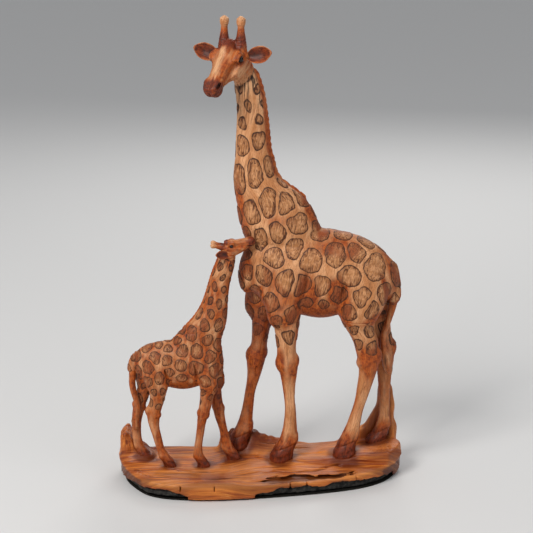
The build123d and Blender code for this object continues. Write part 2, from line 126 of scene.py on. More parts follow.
def noise(points, size):
    """Smooth noise from -1 to 1, with features as large as size, one number or three."""
    scaled = points / np.array(size, float)
    cell = np.floor(scaled).astype(int)
    part = scaled - cell
    part = part * part * (3 - 2 * part)
    total = np.zeros(len(points))
    for corner in np.ndindex(2, 2, 2):
        weight = np.prod(np.where(corner, part, 1 - part), axis=1)
        place = (cell + corner) % 32
        total += weight * LATTICE[place[:, 0], place[:, 1], place[:, 2]]
    return 2 * total - 1


def near(value, middle_value, width):
    """1 where value is at middle_value, falling smoothly to 0 about width away."""
    return np.exp(-(((value - middle_value) / width) ** 2))


def ease(value, start, end):
    """0 up to start, 1 from end on, and smooth between them; start may be the larger."""
    share = np.clip((value - start) / (end - start), 0, 1)
    return share * share * (3 - 2 * share)


# ---------------------------------------------------------------- clay
def ellipsoid(centre, radii, axes=np.eye(3)):
    """The signed distance to an ellipsoid; the rows of axes are its own directions."""
    centre, radii, axes = np.array(centre, float), np.array(radii, float), np.array(axes, float)

    def distance(points):
        scaled = (points - centre) @ axes.T / radii
        size = np.sqrt((scaled**2).sum(-1))
        slope = np.sqrt(((scaled / radii) ** 2).sum(-1))
        return size * (size - 1) / np.maximum(slope, 1e-6)

    reach = np.sqrt(((axes.T * radii) ** 2).sum(1))
    return distance, centre - reach, centre + reach


def node_distance(node, points, band):
    """Signed distances from a grid of points to a CAD node, exact within band of its surface."""
    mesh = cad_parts[node].data
    faces = [tuple(face.vertices) for face in mesh.polygons]
    tree = BVHTree.FromPolygons(corners(node).tolist(), faces)
    find, cast = tree.find_nearest, tree.ray_cast

    def within(place):
        """Whether a place is inside, from the number of faces beyond it."""
        count = 0
        start = Vector(place)
        while True:
            hit = cast(start, OBLIQUE)[0]
            if hit is None:
                return count % 2 == 1
            count += 1
            start = hit + OBLIQUE * 1e-4

    def signed(places):
        gaps = []
        for place in places.tolist():
            at, normal, _, gap = find(place)
            x, y, z = place
            side = (x - at[0]) * normal[0] + (y - at[1]) * normal[1] + (z - at[2]) * normal[2]
            outside = side > 0
            if abs(side) < 0.8 * gap:        # beyond a sharp edge one face's side says little
                outside = not within(place)
            gaps.append(gap if outside else -gap)
        return gaps

    stride = 4
    shape = points.shape[:3]
    picks = [np.minimum(np.arange(0, n + stride, stride), n - 1) for n in shape]
    coarse_points = points[np.ix_(*picks)]
    coarse = np.array(signed(coarse_points.reshape(-1, 3)), np.float32)
    coarse = coarse.reshape(coarse_points.shape[:3])
    for axis, count in enumerate(shape):
        at = np.arange(count) / stride
        first = np.floor(at).astype(int)
        last = np.minimum(first + 1, coarse.shape[axis] - 1)
        weight = (at - first).reshape([-1 if i == axis else 1 for i in range(3)]).astype(np.float32)
        coarse = np.take(coarse, first, axis) * (1 - weight) + np.take(coarse, last, axis) * weight
    step = float(np.linalg.norm(points[1, 0, 0] - points[0, 0, 0]))
    close = np.abs(coarse) < band + step * stride / 2
    coarse[close] = signed(points[close])
    return coarse


class Clay:
    """A lump of clay: a grid of signed distances, which shapes are added to and cut from."""

    def __init__(self, low, high, step):
        self.low = np.array(low, float)
        self.step = step
        shape = np.ceil((np.array(high) - self.low) / step).astype(int) + 1
        self.field = np.full(shape, FAR, np.float32)

    def with_field(self, field):
        """Clay of another shape on the same grid."""
        other = Clay(self.low, self.low, self.step)
        other.field = field.astype(np.float32)
        return other

    def window(self, low, high):
        """The part of the grid between two corners."""
        first = np.floor((np.array(low) - self.low) / self.step).astype(int)
        last = np.ceil((np.array(high) - self.low) / self.step).astype(int) + 1
        first = np.clip(first, 0, self.field.shape)
        last = np.clip(last, first, self.field.shape)
        return tuple(slice(a, b) for a, b in zip(first, last))

    def points(self, window):
        """The places of the grid's points in a window."""
        ticks = [
            self.low[axis] + self.step * np.arange(part.start, part.stop)
            for axis, part in enumerate(window)
        ]
        return np.stack(np.meshgrid(*ticks, indexing="ij"), -1)

    def add_node(self, node, lowest=-1000.0, highest=1000.0):
        """Adds a CAD node, or the part of it between two heights."""
        low, high = box(node)
        low, high = low - NODE_MARGIN, high + NODE_MARGIN
        low[2] = max(low[2], lowest - NODE_MARGIN)
        high[2] = min(high[2], highest + NODE_MARGIN)
        window = self.window(low, high)
        if any(part.stop - part.start < 2 for part in window):
            return
        points = self.points(window)
        gap = node_distance(node, points, NODE_BAND)
        gap = np.maximum(gap, np.maximum(lowest - points[..., 2], points[..., 2] - highest))
        self.field[window] = np.minimum(self.field[window], gap)

    def soften(self, radius, regrown=0.0):
        """Rounds every edge and crease over about radius, then grows the clay back a little."""
        for _ in range(int(round(2 * (radius / self.step) ** 2))):
            for axis in range(3):
                view = np.moveaxis(self.field, axis, 0)
                view[1:-1] = 0.25 * view[:-2] + 0.5 * view[1:-1] + 0.25 * view[2:]
        self.field -= regrown

    def press(self, shape, blend):
        """Adds a shape, flowing into the rest over about blend, or cuts it away below 0."""
        distance, low, high = shape
        sign = 1 if blend > 0 else -1
        blend = abs(blend)
        window = self.window(low - 2 * blend - 1, high + 2 * blend + 1)
        if min(self.field[window].shape) == 0:
            return
        gap = distance(self.points(window))
        old = sign * self.field[window]
        share = np.clip(0.5 + 0.5 * (old - gap) / blend, 0, 1)
        self.field[window] = sign * (old + (gap - old) * share - blend * share * (1 - share))

    def skin(self, low, high, planes=()):
        """The surface between two corners, cut by planes, each (point, normal, tuck); what lies
        more than tuck beyond a plane goes."""
        window = self.window(low, high)
        field = self.field[window].copy()
        points = self.points(window)
        for point, normal, tuck in planes:
            beyond = (points - point) @ unit(normal)
            if tuck > 0:
                field += TUCK_SHRINK * (beyond > 0)
            field = np.maximum(field, beyond - tuck)
        field = np.pad(field, 1, constant_values=FAR)
        origin = self.low + self.step * (np.array([part.start for part in window]) - 1)
        return largest(*surface(field, origin, self.step))


CUBE = np.array(list(np.ndindex(2, 2, 2)))
CUBE_EDGES = [
    (a, b) for a in range(8) for b in range(a + 1, 8) if np.abs(CUBE[a] - CUBE[b]).sum() == 1
]


def surface(field, origin, step):
    """Surface nets: a vertex in every cell that the surface crosses, and a face over every edge."""
    inside = field < 0
    cells = tuple(n - 1 for n in field.shape)
    total = np.zeros(cells, np.int8)
    for x, y, z in CUBE:
        total += inside[x : x + cells[0], y : y + cells[1], z : z + cells[2]]
    active = np.argwhere((total > 0) & (total < 8))
    index = np.full(cells, -1, np.int32)
    index[tuple(active.T)] = np.arange(len(active))
    values = np.stack([field[tuple((active + corner).T)] for corner in CUBE], 1).astype(float)
    position = np.zeros((len(active), 3))
    crossings = np.zeros(len(active))
    for a, b in CUBE_EDGES:
        crossed = (values[:, a] < 0) != (values[:, b] < 0)
        difference = np.where(crossed, values[:, a] - values[:, b], 1.0)
        share = np.where(crossed, values[:, a] / difference, 0.0)
        point = CUBE[a] + share[:, None] * (CUBE[b] - CUBE[a])
        position += point * crossed[:, None]
        crossings += crossed
    vertices = origin + step * (active + position / crossings[:, None])
    quads = []
    for axis in range(3):
        first, second = (axis + 1) % 3, (axis + 2) % 3
        upper = [slice(None)] * 3
        lower = [slice(None)] * 3
        upper[axis] = slice(1, None)
        lower[axis] = slice(None, -1)
        leaving = inside[tuple(lower)] & ~inside[tuple(upper)]
        entering = ~inside[tuple(lower)] & inside[tuple(upper)]
        for crossed, order in ((leaving, 1), (entering, -1)):
            place = np.argwhere(crossed)
            ring = []
            for a, b in ((0, 0), (1, 0), (1, 1), (0, 1)):
                cell = place.copy()
                cell[:, first] -= a
                cell[:, second] -= b
                ring.append(index[tuple(cell.T)])
            quads.append(np.stack(ring, 1)[:, ::order])
    return vertices, np.concatenate(quads)


def largest(vertices, quads):
    """The largest connected part of a mesh."""
    label = np.arange(len(vertices))
    while True:
        lowest = label[quads].min(1)
        new = label.copy()
        for corner in range(4):
            np.minimum.at(new, quads[:, corner], lowest)
        new = new[new]
        if (new == label).all():
            break
        label = new
    keep = label == np.bincount(label).argmax()
    renumber = np.cumsum(keep) - 1
    return vertices[keep], renumber[quads[keep[quads[:, 0]]]]


def vertex_normals(vertices, quads):
    """The outward normal at every vertex."""
    corner = vertices[quads]
    face = np.cross(corner[:, 2] - corner[:, 0], corner[:, 3] - corner[:, 1])
    total = np.zeros_like(vertices)
    for axis in range(3):
        for place in range(4):
            total[:, axis] += np.bincount(quads[:, place], face[:, axis], len(vertices))
    return total / np.maximum(np.linalg.norm(total, axis=1), 1e-9)[:, None]


def relax(vertices, quads, rounds):
    """Evens out a mesh by moving each vertex halfway to the mean of its neighbours."""
    count = len(vertices)
    ends = np.concatenate([quads[:, [a, (a + 1) % 4]] for a in range(4)])
    degree = np.bincount(ends[:, 0], minlength=count) + np.bincount(ends[:, 1], minlength=count)
    for _ in range(rounds):
        mean = np.zeros_like(vertices)
        for axis in range(3):
            mean[:, axis] = np.bincount(ends[:, 0], vertices[ends[:, 1], axis], count)
            mean[:, axis] += np.bincount(ends[:, 1], vertices[ends[:, 0], axis], count)
        vertices = 0.5 * vertices + 0.5 * mean / degree[:, None]
    return vertices


def piece(name, vertices, quads, values, material, node):
    """A finished piece that stands for a CAD node, with its values at every vertex."""
    mesh = bpy.data.meshes.new(name)
    mesh.vertices.add(len(vertices))
    mesh.vertices.foreach_set("co", (vertices / MM).astype(np.float32).ravel())
    mesh.loops.add(quads.size)
    mesh.loops.foreach_set("vertex_index", quads.astype(np.int32).ravel())
    mesh.polygons.add(len(quads))
    mesh.polygons.foreach_set("loop_start", np.arange(0, quads.size, 4, dtype=np.int32))
    mesh.update(calc_edges=True)
    mesh.validate()
    mesh.shade_smooth()
    for key, value in values.items():
        if np.ndim(value) == 2:
            layer = mesh.attributes.new(key, "FLOAT_VECTOR", "POINT")
            layer.data.foreach_set("vector", value.astype(np.float32).ravel())
            continue
        layer = mesh.attributes.new(key, "FLOAT", "POINT")
        layer.data.foreach_set("value", np.broadcast_to(value, len(vertices)).astype(np.float32))
    mesh.materials.append(material)
    made = bpy.data.objects.new(name, mesh)
    bpy.context.scene.collection.objects.link(made)
    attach(made, "root")
    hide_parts(node)


# ---------------------------------------------------------------- shared by both animals
class Animal:
    """The places on one animal that its features and its colours are laid out from."""

    def __init__(self, name, facing, size):
        self.name = name
        self.facing = facing            # the way it walks along X, -1 or 1
        self.size = size                # its height beside the mother's
        self.joint = box(self.node("leg_front_left"))[1][2]
        self.neck_joint = box(self.node("neck"))[0][2]
        self.tail_joint = below_tenon(self.node("tail"))
        self.middle_y = middle(self.node("torso"))[1]
        self.torso_low, self.torso_high = box(self.node("torso"))
        self.legs = {}
        for leg in LEGS:
            low, high = box(self.node(leg))
            tall = high[2] - low[2]
            rows = np.linspace(low[2] + 0.6, high[2] - 0.4, 40)
            cuts = np.array([section(self.node(leg), height) for height in rows])
            self.legs[leg] = (low[2], tall, rows, cuts)
        rows = np.linspace(self.neck_joint + 0.5, box(self.node("neck"))[1][2] - 3, 40)
        self.neck_rows = rows
        self.neck_cuts = np.array([section(self.node("neck"), height) for height in rows])
        self.find_head()

    def node(self, part):
        """The name of one of its CAD nodes."""
        return f"{self.name}_{part}"

    def leg_at(self, leg, share):
        """A leg's middle and half widths at a share of its height: x, y, z, half x, half y."""
        low, tall, rows, cuts = self.legs[leg]
        height = low + share * tall
        x, y, a, b = (np.interp(height, rows, cuts[:, i]) for i in range(4))
        return x, y, height, a, b

    def neck_at(self, height):
        """The neck's middle and half widths at a height: x, y, half x, half y."""
        return tuple(np.interp(height, self.neck_rows, self.neck_cuts[:, i]) for i in range(4))

    def find_head(self):
        """The head's own axes, from its eyes and its muzzle."""
        left, right = middle(self.node("eye_left")), middle(self.node("eye_right"))
        self.eyes = (left + right) / 2
        self.eye_gap = np.linalg.norm(left - right) / 2
        low, high = box(self.node("eye_left"))
        self.eye_radius = (high[0] - low[0]) / 2
        self.left = unit(left - right)
        skull = corners(self.node("head"))
        reach = np.linalg.norm(skull - self.eyes, axis=1)
        tip = skull[reach > reach.max() - 1.0 * self.size].mean(0)
        forward = tip - self.eyes
        forward -= self.left * (forward @ self.left)
        self.muzzle = np.linalg.norm(forward)
        self.forward = unit(forward)
        self.crown = np.cross(self.forward, self.left)
        self.axes = np.array((self.forward, self.left, self.crown))
        low, high = box(self.node("head_dowel"))
        self.throat = (low + high) / 2
        self.throat[2] = low[2]
        height = low[2] - 12 * self.size
        x, y, _, _ = self.neck_at(height)
        below = np.array((x, y, height))
        self.throat[:2] = self.neck_at(low[2])[:2]
        self.head_way = unit(middle(self.node("head")) - below)

    def in_head(self, points):
        """Points in the head's axes: forward, left and crown from between the eyes."""
        return (points - self.eyes) @ self.axes.T

    def face(self, forward, left, crown):
        """A place in the head's axes, in units of the animal's size."""
        return self.eyes + np.array((forward, left, crown)) * self.size @ self.axes


def add_legs(clay, animal):
    """Kneecaps, hocks, tendons, fetlocks and cloven hooves."""
    s, front = animal.size, animal.facing
    # share of the leg's height, then x, y and z of each swelling from the leg's middle line and
    # its half widths, in the leg's own half widths and, up and down, its height; then the blend
    knee = (
        (0.70, (0.5, 0, 0), (0.68, 0.82, 0.055), 2.2),
        (0.70, (-0.75, 0, 0.02), (0.4, 0.5, 0.04), 2.0),
    )
    hock = (
        (0.745, (-0.8, 0, 0), (0.48, 0.6, 0.055), 2.4),
        (0.745, (0.35, 0, -0.05), (0.7, 0.9, 0.04), 2.2),
    )
    shank = [
        (share, (-0.38, side, 0), (0.22, 0.2, 0.075), -1.2)
        for share in (0.36, 0.46, 0.56)
        for side in (-1, 1)
    ]
    fetlock = (
        (0.185, (-0.72, 0, 0), (0.42, 0.75, 0.028), 1.8),
        (0.15, (-0.72, 0, 0), (0.5, 0.75, 0.028), 1.8),
    )
    for leg in LEGS:
        tall = animal.legs[leg][1]
        joint = knee if "front" in leg else hock
        for share, (ahead, aside, up), (wide, deep, high), blend in (*joint, *shank, *fetlock):
            x, y, z, a, b = animal.leg_at(leg, share)
            place = (x + front * a * ahead, y + b * aside, z + tall * up)
            clay.press(ellipsoid(place, (a * wide, b * deep, tall * high)), blend * s)
        x, y, z, a, _ = animal.leg_at(leg, 0.05)
        cleft = ellipsoid((x + front * a * 0.98, y, z), (a * 0.5, 0.75 * s, tall * 0.07))
        clay.press(cleft, -0.8 * s)


def add_torso(clay, animal):
    """Shoulders, haunches, brisket, and the folds behind the shoulders and before the thighs."""
    s, front = animal.size, animal.facing
    lean = ((cos(0.2), 0, sin(0.2) * front), (0, 1, 0), (-sin(0.2) * front, 0, cos(0.2)))
    # which leg, then how far ahead of its top, out from the flank and above it; radii; blend
    muscles = (
        ("front", (-1, -3, 25), (11, 6.5, 25), 5),
        ("front", (5, -4, 9), (8, 6, 13), 4),
        ("front", (-12.5, 2.2, 21), (1.5, 4.2, 19), -3),
        ("hind", (-2, -3.5, 18), (15, 6.5, 21), 5),
        ("hind", (13.5, 1.6, 16), (1.6, 4.5, 15), -3),
    )
    for side in (-1, 1):
        hand = "left" if (side < 0) == (front < 0) else "right"
        flank = animal.middle_y + side * 17.5 * s
        for leg, (ahead, out, up), radii, blend in muscles:
            x, _, z, _, _ = animal.leg_at(f"leg_{leg}_{hand}", 1.0)
            place = (x + front * ahead * s, flank + side * out * s, z + up * s)
            clay.press(ellipsoid(place, np.array(radii) * s, lean), blend * s)
    middle_x = sum(middle(animal.node(f"leg_{leg}_left"))[0] for leg in ("front", "hind")) / 2
    belly = (middle_x, animal.middle_y, animal.joint + 20.8 * s)
    clay.press(ellipsoid(belly, (25 * s, 14.5 * s, 20.5 * s)), 6 * s)
    _, neck_y, _, _ = animal.neck_at(animal.neck_joint + 1)
    breast_x = animal.torso_low[0] if front < 0 else animal.torso_high[0]
    brisket = (breast_x - front * 7 * s, neck_y, animal.joint + 32 * s)
    clay.press(ellipsoid(brisket, (6 * s, 7 * s, 14 * s)), 5 * s)
    tail_x, tail_y, _, _ = section(animal.node("tail"), animal.tail_joint - 1)
    tail_root = (tail_x, tail_y, animal.tail_joint + 2.5 * s)
    clay.press(ellipsoid(tail_root, (3.6 * s, 3.4 * s, 6.5 * s)), 2.4 * s)
    for number in range(9):
        height = animal.tail_joint + 3 * s * number
        x, _, a, _ = section(animal.node("torso"), height)
        wide = (3.3 - 0.22 * number) * s
        spine = (x - front * (a - 0.9 * s), tail_y, height)
        clay.press(ellipsoid(spine, (wide * 0.8, wide, 3.4 * s)), 1.6 * s)


def mane_places(animal):
    """Places along the mane, from the poll down the back of the neck to the withers."""
    s, front = animal.size, animal.facing
    top = animal.throat[2] + 4 * s
    places = []
    for height in np.arange(animal.neck_joint + 4 * s, top, 1.5 * s):
        x, y, a, _ = animal.neck_at(height)
        places.append((x - front * (a - 0.2 * s), y, height))
    return np.array(places)


def add_mane(clay, animal, places):
    """A low ridge of hair with notches along it."""
    s = animal.size
    for number, place in enumerate(places):
        tall = 1.9 if number % 3 else 1.1
        clay.press(ellipsoid(place, (tall * s, 1.25 * s, 1.7 * s)), 0.9 * s)


def body_clay(animal, mane):
    """The torso, neck and legs as one lump, and the skull so that the throat flows into it."""
    nodes = [animal.node(part) for part in ("torso", "neck", "neck_dowel", "leg_dowels", *LEGS)]
    low, high = outline(nodes)
    clay = Clay(low - 5, high + 5, BODY_STEP[animal.name])
    for node in nodes + [animal.node(part) for part in ("head", "head_dowel", "foot_pegs")]:
        clay.add_node(node)
    clay.soften(1.15 * animal.size**0.5, regrown=0.12)
    add_torso(clay, animal)
    add_legs(clay, animal)
    add_mane(clay, animal, mane)
    return clay


# What is pressed into each face: for the middle or for both sides, each shape's place forward,
# left and crown of the spot between the eyes, its radii, and its blend, below 0 where it is cut.
MIDDLE, BOTH = (1,), (-1, 1)
FACES = {
    "mother": (
        (MIDDLE, (
            ((-6, 0, 4.5), (7.5, 4.2, 4.0), 3.0),           # the bump between the horns
            ((11, 0, 2.2), (13, 2.6, 2.2), 2.5),            # the bridge of the nose
            ((24.5, 0, -4.6), (5.0, 4.2, 3.0), 1.6),        # the chin
            ((27, 0, 8.6), (9, 6, 3.4), -1.6),
        )),
        (BOTH, (
            ((1.0, 13.4, 0.0), (4.2, 2.6, 3.0), -1.2),      # the eye's socket
            ((11, 8.8, -0.5), (7.5, 2.8, 3.0), -2.2),
            ((-0.5, 8.7, 3.4), (5.4, 2.2, 1.5), 2.4),       # the brow
            ((1.2, 10.6, -3.2), (4.2, 1.5, 0.8), 0.7),
            ((4, 7.0, -8.0), (9.0, 3.2, 4.6), 2.4),         # the cheek
            ((15, 8.0, -8.5), (5.0, 3.0, 3.0), -2.0),
            ((23.6, 4.9, 2.4), (4.6, 2.4, 2.6), 1.2),       # the nostril
            ((25.6, 5.6, 3.4), (3.0, 1.6, 1.3), -0.4),
            ((25.5, 6.4, -2.6), (6.8, 2.8, 0.6), -0.4),     # the mouth
        )),
        (MIDDLE, (
            ((31.6, 0, -2.4), (3.0, 5.8, 0.6), -0.4),
            ((32.4, 0, 1.0), (1.6, 0.5, 3.2), -0.4),        # the cleft of the lip
        )),
    ),
    "calf": (
        (MIDDLE, (((-5, 0, 4.0), (4.5, 3.0, 2.8), 1.2),)),
        (BOTH, (
            ((0.5, 11.0, 0.0), (4.2, 2.4, 3.0), -0.6),
            ((12, 8.0, -1.0), (7.0, 2.6, 3.0), -1.0),
            ((-0.5, 6.8, 3.2), (5.0, 2.2, 1.5), 1.3),
            ((0.8, 8.2, -3.4), (4.4, 1.5, 1.0), 0.4),
            ((4, 4.8, -6.8), (7.5, 3.2, 4.2), 1.4),
            ((26.5, 3.6, 1.0), (3.6, 2.2, 2.2), 0.5),
            ((28.6, 4.3, 1.6), (2.6, 1.5, 1.2), -0.3),
            ((24, 5.4, -2.7), (6.5, 2.6, 0.8), -0.3),
        )),
        (MIDDLE, (((30.2, 0, -2.7), (3.0, 5, 0.8), -0.3),)),
    ),
}


def carve_face(clay, animal):
    """Brows, lids, cheeks, nostrils and mouth, from the animal's own list of shapes."""
    s = animal.size
    for sides, shapes in FACES[animal.name]:
        for side in sides:
            for (forward, left, crown), radii, blend in shapes:
                place = animal.face(forward, side * left, crown)
                clay.press(ellipsoid(place, np.array(radii) * s, animal.axes), blend)


def limb_line(animal, part):
    """A horn's or an ear's two ends, root first, and axes with the first along it."""
    place = corners(animal.node(part))
    middle_place = (place.min(0) + place.max(0)) / 2
    axes = np.linalg.svd(place - place.mean(0), full_matrices=False)[2]
    if axes[0] @ (middle_place - middle(animal.node("head"))) < 0:
        axes[0] = -axes[0]
    reach = (place - middle_place) @ axes[0]
    return middle_place + axes[0] * reach.min(), middle_place + axes[0] * reach.max(), axes


def add_lids(clay, animal):
    """A ring of lid around each eye, heavier above it."""
    s, radius = animal.size, animal.eye_radius / animal.size
    count = 18
    for side in (-1, 1):
        for number in range(count):
            angle = 2 * np.pi * number / count
            out = animal.eye_gap / s + 0.35 + 0.55 * max(0.0, sin(angle))
            spot = animal.face(1.42 * radius * cos(angle), side * out, 1.28 * radius * sin(angle))
            clay.press(ellipsoid(spot, (1.1 * s, 1.1 * s, 1.1 * s)), 0.5 * s)


def add_horns(clay, animal):
    """Horns with a flared root, a slim waist and a flat knob on top."""
    s = animal.size
    count = 15
    for side in ("left", "right"):
        root, tip, axes = limb_line(animal, f"horn_{side}")
        tip = tip - axes[0] * 1.7 * s
        for number in range(count):
            share = number / (count - 1)
            radius = 2.35 + 2.0 * ease(share, 0.78, 0.05) + 0.85 * ease(share, 0.78, 0.9)
            spot = root + (tip - root) * share
            clay.press(ellipsoid(spot, (1.7 * s, radius * s, radius * s), axes), 0.8 * s)
        clay.press(ellipsoid(tip + axes[0] * 1.2 * s, (1.2 * s, 1.7 * s, 1.7 * s), axes), 0.6 * s)


def head_clay(animal):
    """The head and horns as one lump, with the top of the neck that it sits on."""
    s = animal.size
    low, high = outline(animal.node(part) for part in HEAD_PARTS)
    low -= 5 * s
    clay = Clay(low, high + 4 * s, HEAD_STEP[animal.name])
    for part in ("head", "head_dowel"):
        clay.add_node(animal.node(part))
    clay.add_node(animal.node("neck"), lowest=low[2] - 3)
    for side in ("left", "right"):
        clay.add_node(animal.node(f"eye_{side}"))
        for part in ("ear", "horn"):
            root, _, _ = limb_line(animal, f"{part}_{side}")
            clay.press(ellipsoid(root, (4.2 * s, 4.2 * s, 4.2 * s)), 1.0 * s)
    clay.soften(0.85 * s**0.5, regrown=0.08)
    add_horns(clay, animal)
    add_lids(clay, animal)
    carve_face(clay, animal)
    return clay


def ear_breadth(share):
    """An ear's half breadth beside its greatest, from its root at 0 to its tip at 1."""
    leaf = np.clip(1 - ((share - 0.56) / 0.46) ** 2, 0, 1) ** (0.55 + 0.3 * ease(share, 0.56, 0.9))
    return np.maximum.reduce([leaf, 0.42 * ease(share, 0.5, 0.15), np.full(np.shape(share), 0.04)])


def ear_shape(centre, axes, length, width, cup, thick):
    """A leaf with a hollow face: a cupped sheet, widest past its middle, on a narrow root."""

    def distance(points):
        along, across, face = np.moveaxis((points - centre) @ axes.T, -1, 0)
        share = (along / length + 1) / 2
        breadth = width * ear_breadth(share)
        bowl = cup * (1 - np.minimum(across / breadth, 1.4) ** 2) * ease(share, 1.05, 0.6)
        wall = thick * (1 + 0.9 * ease(share, 0.35, 0.0))
        sheet = np.abs(face + bowl) - wall
        return np.maximum.reduce([sheet, np.abs(across) - breadth, np.abs(along) - length])

    reach = np.abs(axes.T * (length, width, cup + 2 * thick)).sum(1)
    return distance, centre - reach, centre + reach


def ear_skin(animal, side):
    """A cupped ear along the CAD ear's own directions, facing forward and out."""
    s = animal.size
    node = animal.node(f"ear_{side}")
    leaf = corners(node)
    centre = (leaf.min(0) + leaf.max(0)) / 2
    along, across, face = np.linalg.svd(leaf - leaf.mean(0), full_matrices=False)[2]
    hand = 1 if side == "left" else -1
    if along @ (centre - animal.eyes) < 0:
        along = -along
    if face @ (animal.forward + 0.6 * hand * animal.left) < 0:
        face = -face
    axes = np.array((along, across, face))
    place = (leaf - centre) @ axes.T
    length, width, thick = (place.max(0) - place.min(0)) / 2
    width *= 1.12
    centre = centre + ((place.max(0) + place.min(0)) / 2) @ axes
    clay = Clay(leaf.min(0) - 4 * s, leaf.max(0) + 4 * s, HEAD_STEP[animal.name] * 0.8)
    wall = 0.62 * s**0.5
    cup = 2.6 * s
    clay.press(ear_shape(centre + face * 0.5 * cup, axes, length, width, cup, wall), 0.3)
    clay.soften(0.35 * s**0.5)
    skin = clay.skin(leaf.min(0) - 3.5 * s, leaf.max(0) + 3.5 * s)
    return skin, (centre, axes, (length, width, thick))


# ---------------------------------------------------------------- the coat's pattern
def choose_seeds(animal, points):
    """Places for the coat's patches, spread evenly with no two close, from a cloud of points."""
    tries = 9000
    order = random.permutation(len(points))[:tries]
    chosen, spacing = [], []
    varied = random.uniform(0.80, 1.16, len(order))
    for place, shrunk, share in zip(points[order], squeeze(animal, points[order]), varied):
        want = patch_spacing(animal, place) * share
        if chosen:
            gap = np.linalg.norm(np.array(chosen) - shrunk, axis=1)
            if (gap < (want + np.array(spacing)) / 2).any():
                continue
        chosen.append(shrunk)
        spacing.append(want)
    return np.array(chosen), np.array(spacing)


def squeeze(animal, points):
    """Points with heights drawn in, most of all on the neck, so that patches come out tall."""
    drawn = points * (1.0, 1.0, 0.86)
    drawn[:, 2] -= 0.2 * np.maximum(0, points[:, 2] - animal.neck_joint)
    return drawn


def patch_spacing(animal, place):
    """How far apart patches are around a place."""
    s = animal.size
    neck = ease(place[2], animal.neck_joint - 15 * s, animal.throat[2])
    leg = ease(place[2], animal.joint + 22 * s, animal.joint - 4 * s)
    least = 5.2 if s < 1 else 7.6
    wide = 13.4 * s**0.8
    return max(least, wide * (1 - 0.42 * neck) * (1 - 0.3 * leg))


def patch_depth(animal, points, seeds, spacing):
    """How far inside a patch each point is, in millimetres, and below 0 between the patches."""
    s = animal.size
    batch = 6000                # points at a time, to spare memory
    most = 40.0                 # a wall further off than this makes no difference
    gap, corner = 2.7 * s**0.7, 1.3 * s**0.5
    wander, ripple = (
        np.stack([noise(points + shift, size * s) for shift in shifts], 1)
        for size, shifts in ((5, (0, 37, 71)), (1.9, (11, 53, 97)))
    )
    warped = squeeze(animal, points + 1.0 * s * wander + 0.28 * s * ripple)
    fill = 0.69 + 0.12 * ease(points[:, 2], animal.neck_joint, animal.throat[2] - 10 * s)
    depth = np.empty(len(points))
    for start in range(0, len(points), batch):
        here = slice(start, start + batch)
        squared = ((warped[here, None, :] - seeds) ** 2).sum(2)
        rows = np.arange(len(squared))
        first = squared.argmin(1)
        nearest = squared[rows, first]
        between = np.linalg.norm(seeds[first][:, None, :] - seeds, axis=2)
        wall = (squared - nearest[:, None]) / (2 * np.maximum(between, 1e-3))
        wall[rows, first] = most
        room = -corner * np.log(np.exp(-np.minimum(wall, most) / corner).sum(1))
        reach = spacing[first] * fill[here] - np.sqrt(nearest)
        depth[here] = np.minimum(room - gap / 2, reach)
    return depth


def grain_lines(animal, points):
    """Where points lie along and across the grain, which follows the legs and the neck."""
    s = animal.size
    x, y, z = points.T
    neck_x, neck_y, _, _ = animal.neck_at(z)
    root_x, root_y, _, _ = animal.neck_at(animal.neck_joint)
    above = z > animal.neck_joint
    across = np.where(above, x - neck_x + root_x, x)
    inward = np.where(above, y - neck_y + root_y, y)
    for leg in LEGS:
        low, tall, _, _ = animal.legs[leg]
        leg_x, leg_y, _, _, _ = animal.leg_at(leg, np.clip((z - low) / tall, 0, 1))
        top_x, top_y, _, _, _ = animal.leg_at(leg, 1.0)
        mine = (z < animal.joint) & (np.hypot(x - leg_x, y - leg_y) < 12 * s)
        across = np.where(mine, x - leg_x + top_x, across)
        inward = np.where(mine, y - leg_y + top_y, inward)
    return np.stack((z + 0.22 * across, across - 0.22 * z * (z > animal.joint), inward), 1)


def leg_stain_and_shade(animal, points, normals, leg):
    """Stain and dark on one leg: knees and hocks, the edges, and down from the fetlock; painted shade
    over the far legs.
    """
    s = animal.size
    x, y, z = points.T
    low, tall, _, _ = animal.legs[leg]
    share = (z - low) / tall
    leg_x, leg_y, _, _, _ = animal.leg_at(leg, np.clip(share, 0, 1))
    mine = ease(np.hypot(x - leg_x, y - leg_y), 16 * s, 9 * s)
    mine = mine * ease(z, animal.joint + 14 * s, animal.joint - 6 * s)
    patchy = 0.85 + 0.5 * noise(points + 5, (5 * s, 5 * s, 20 * s))
    knee = 0.69 if "front" in leg else 0.73
    edges = ease(np.abs(normals[:, 0]), 0.45, 0.95)
    stain_and_shade = np.maximum.reduce([
        1.6 * near(share, knee, 0.13) * (0.72 + 0.28 * edges) * patchy,
        0.85 * edges * patchy,
        1.0 * ease(share, 0.28, 0.12),
        0.8 * ease(share, 0.80, 1.0) * patchy * edges,
        0.30 * patchy,
    ])
    # painted shade on the far legs: stained darker all over, and the far front leg darkened down from
    # its top
    if leg_y[0] > animal.middle_y:
        depth = 0.8 if "front" in leg else 0.4
        stain_and_shade = np.maximum(stain_and_shade, depth + 0.3 * noise(points, (5 * s, 5 * s, 22 * s)))
        shade = 0.6 * ease(share, 0.45, 1.0) * ("front" in leg)
        return mine * stain_and_shade, mine * np.maximum(ease(share, 0.22, 0.05), shade)
    return mine * stain_and_shade, mine * ease(share, 0.22, 0.05)


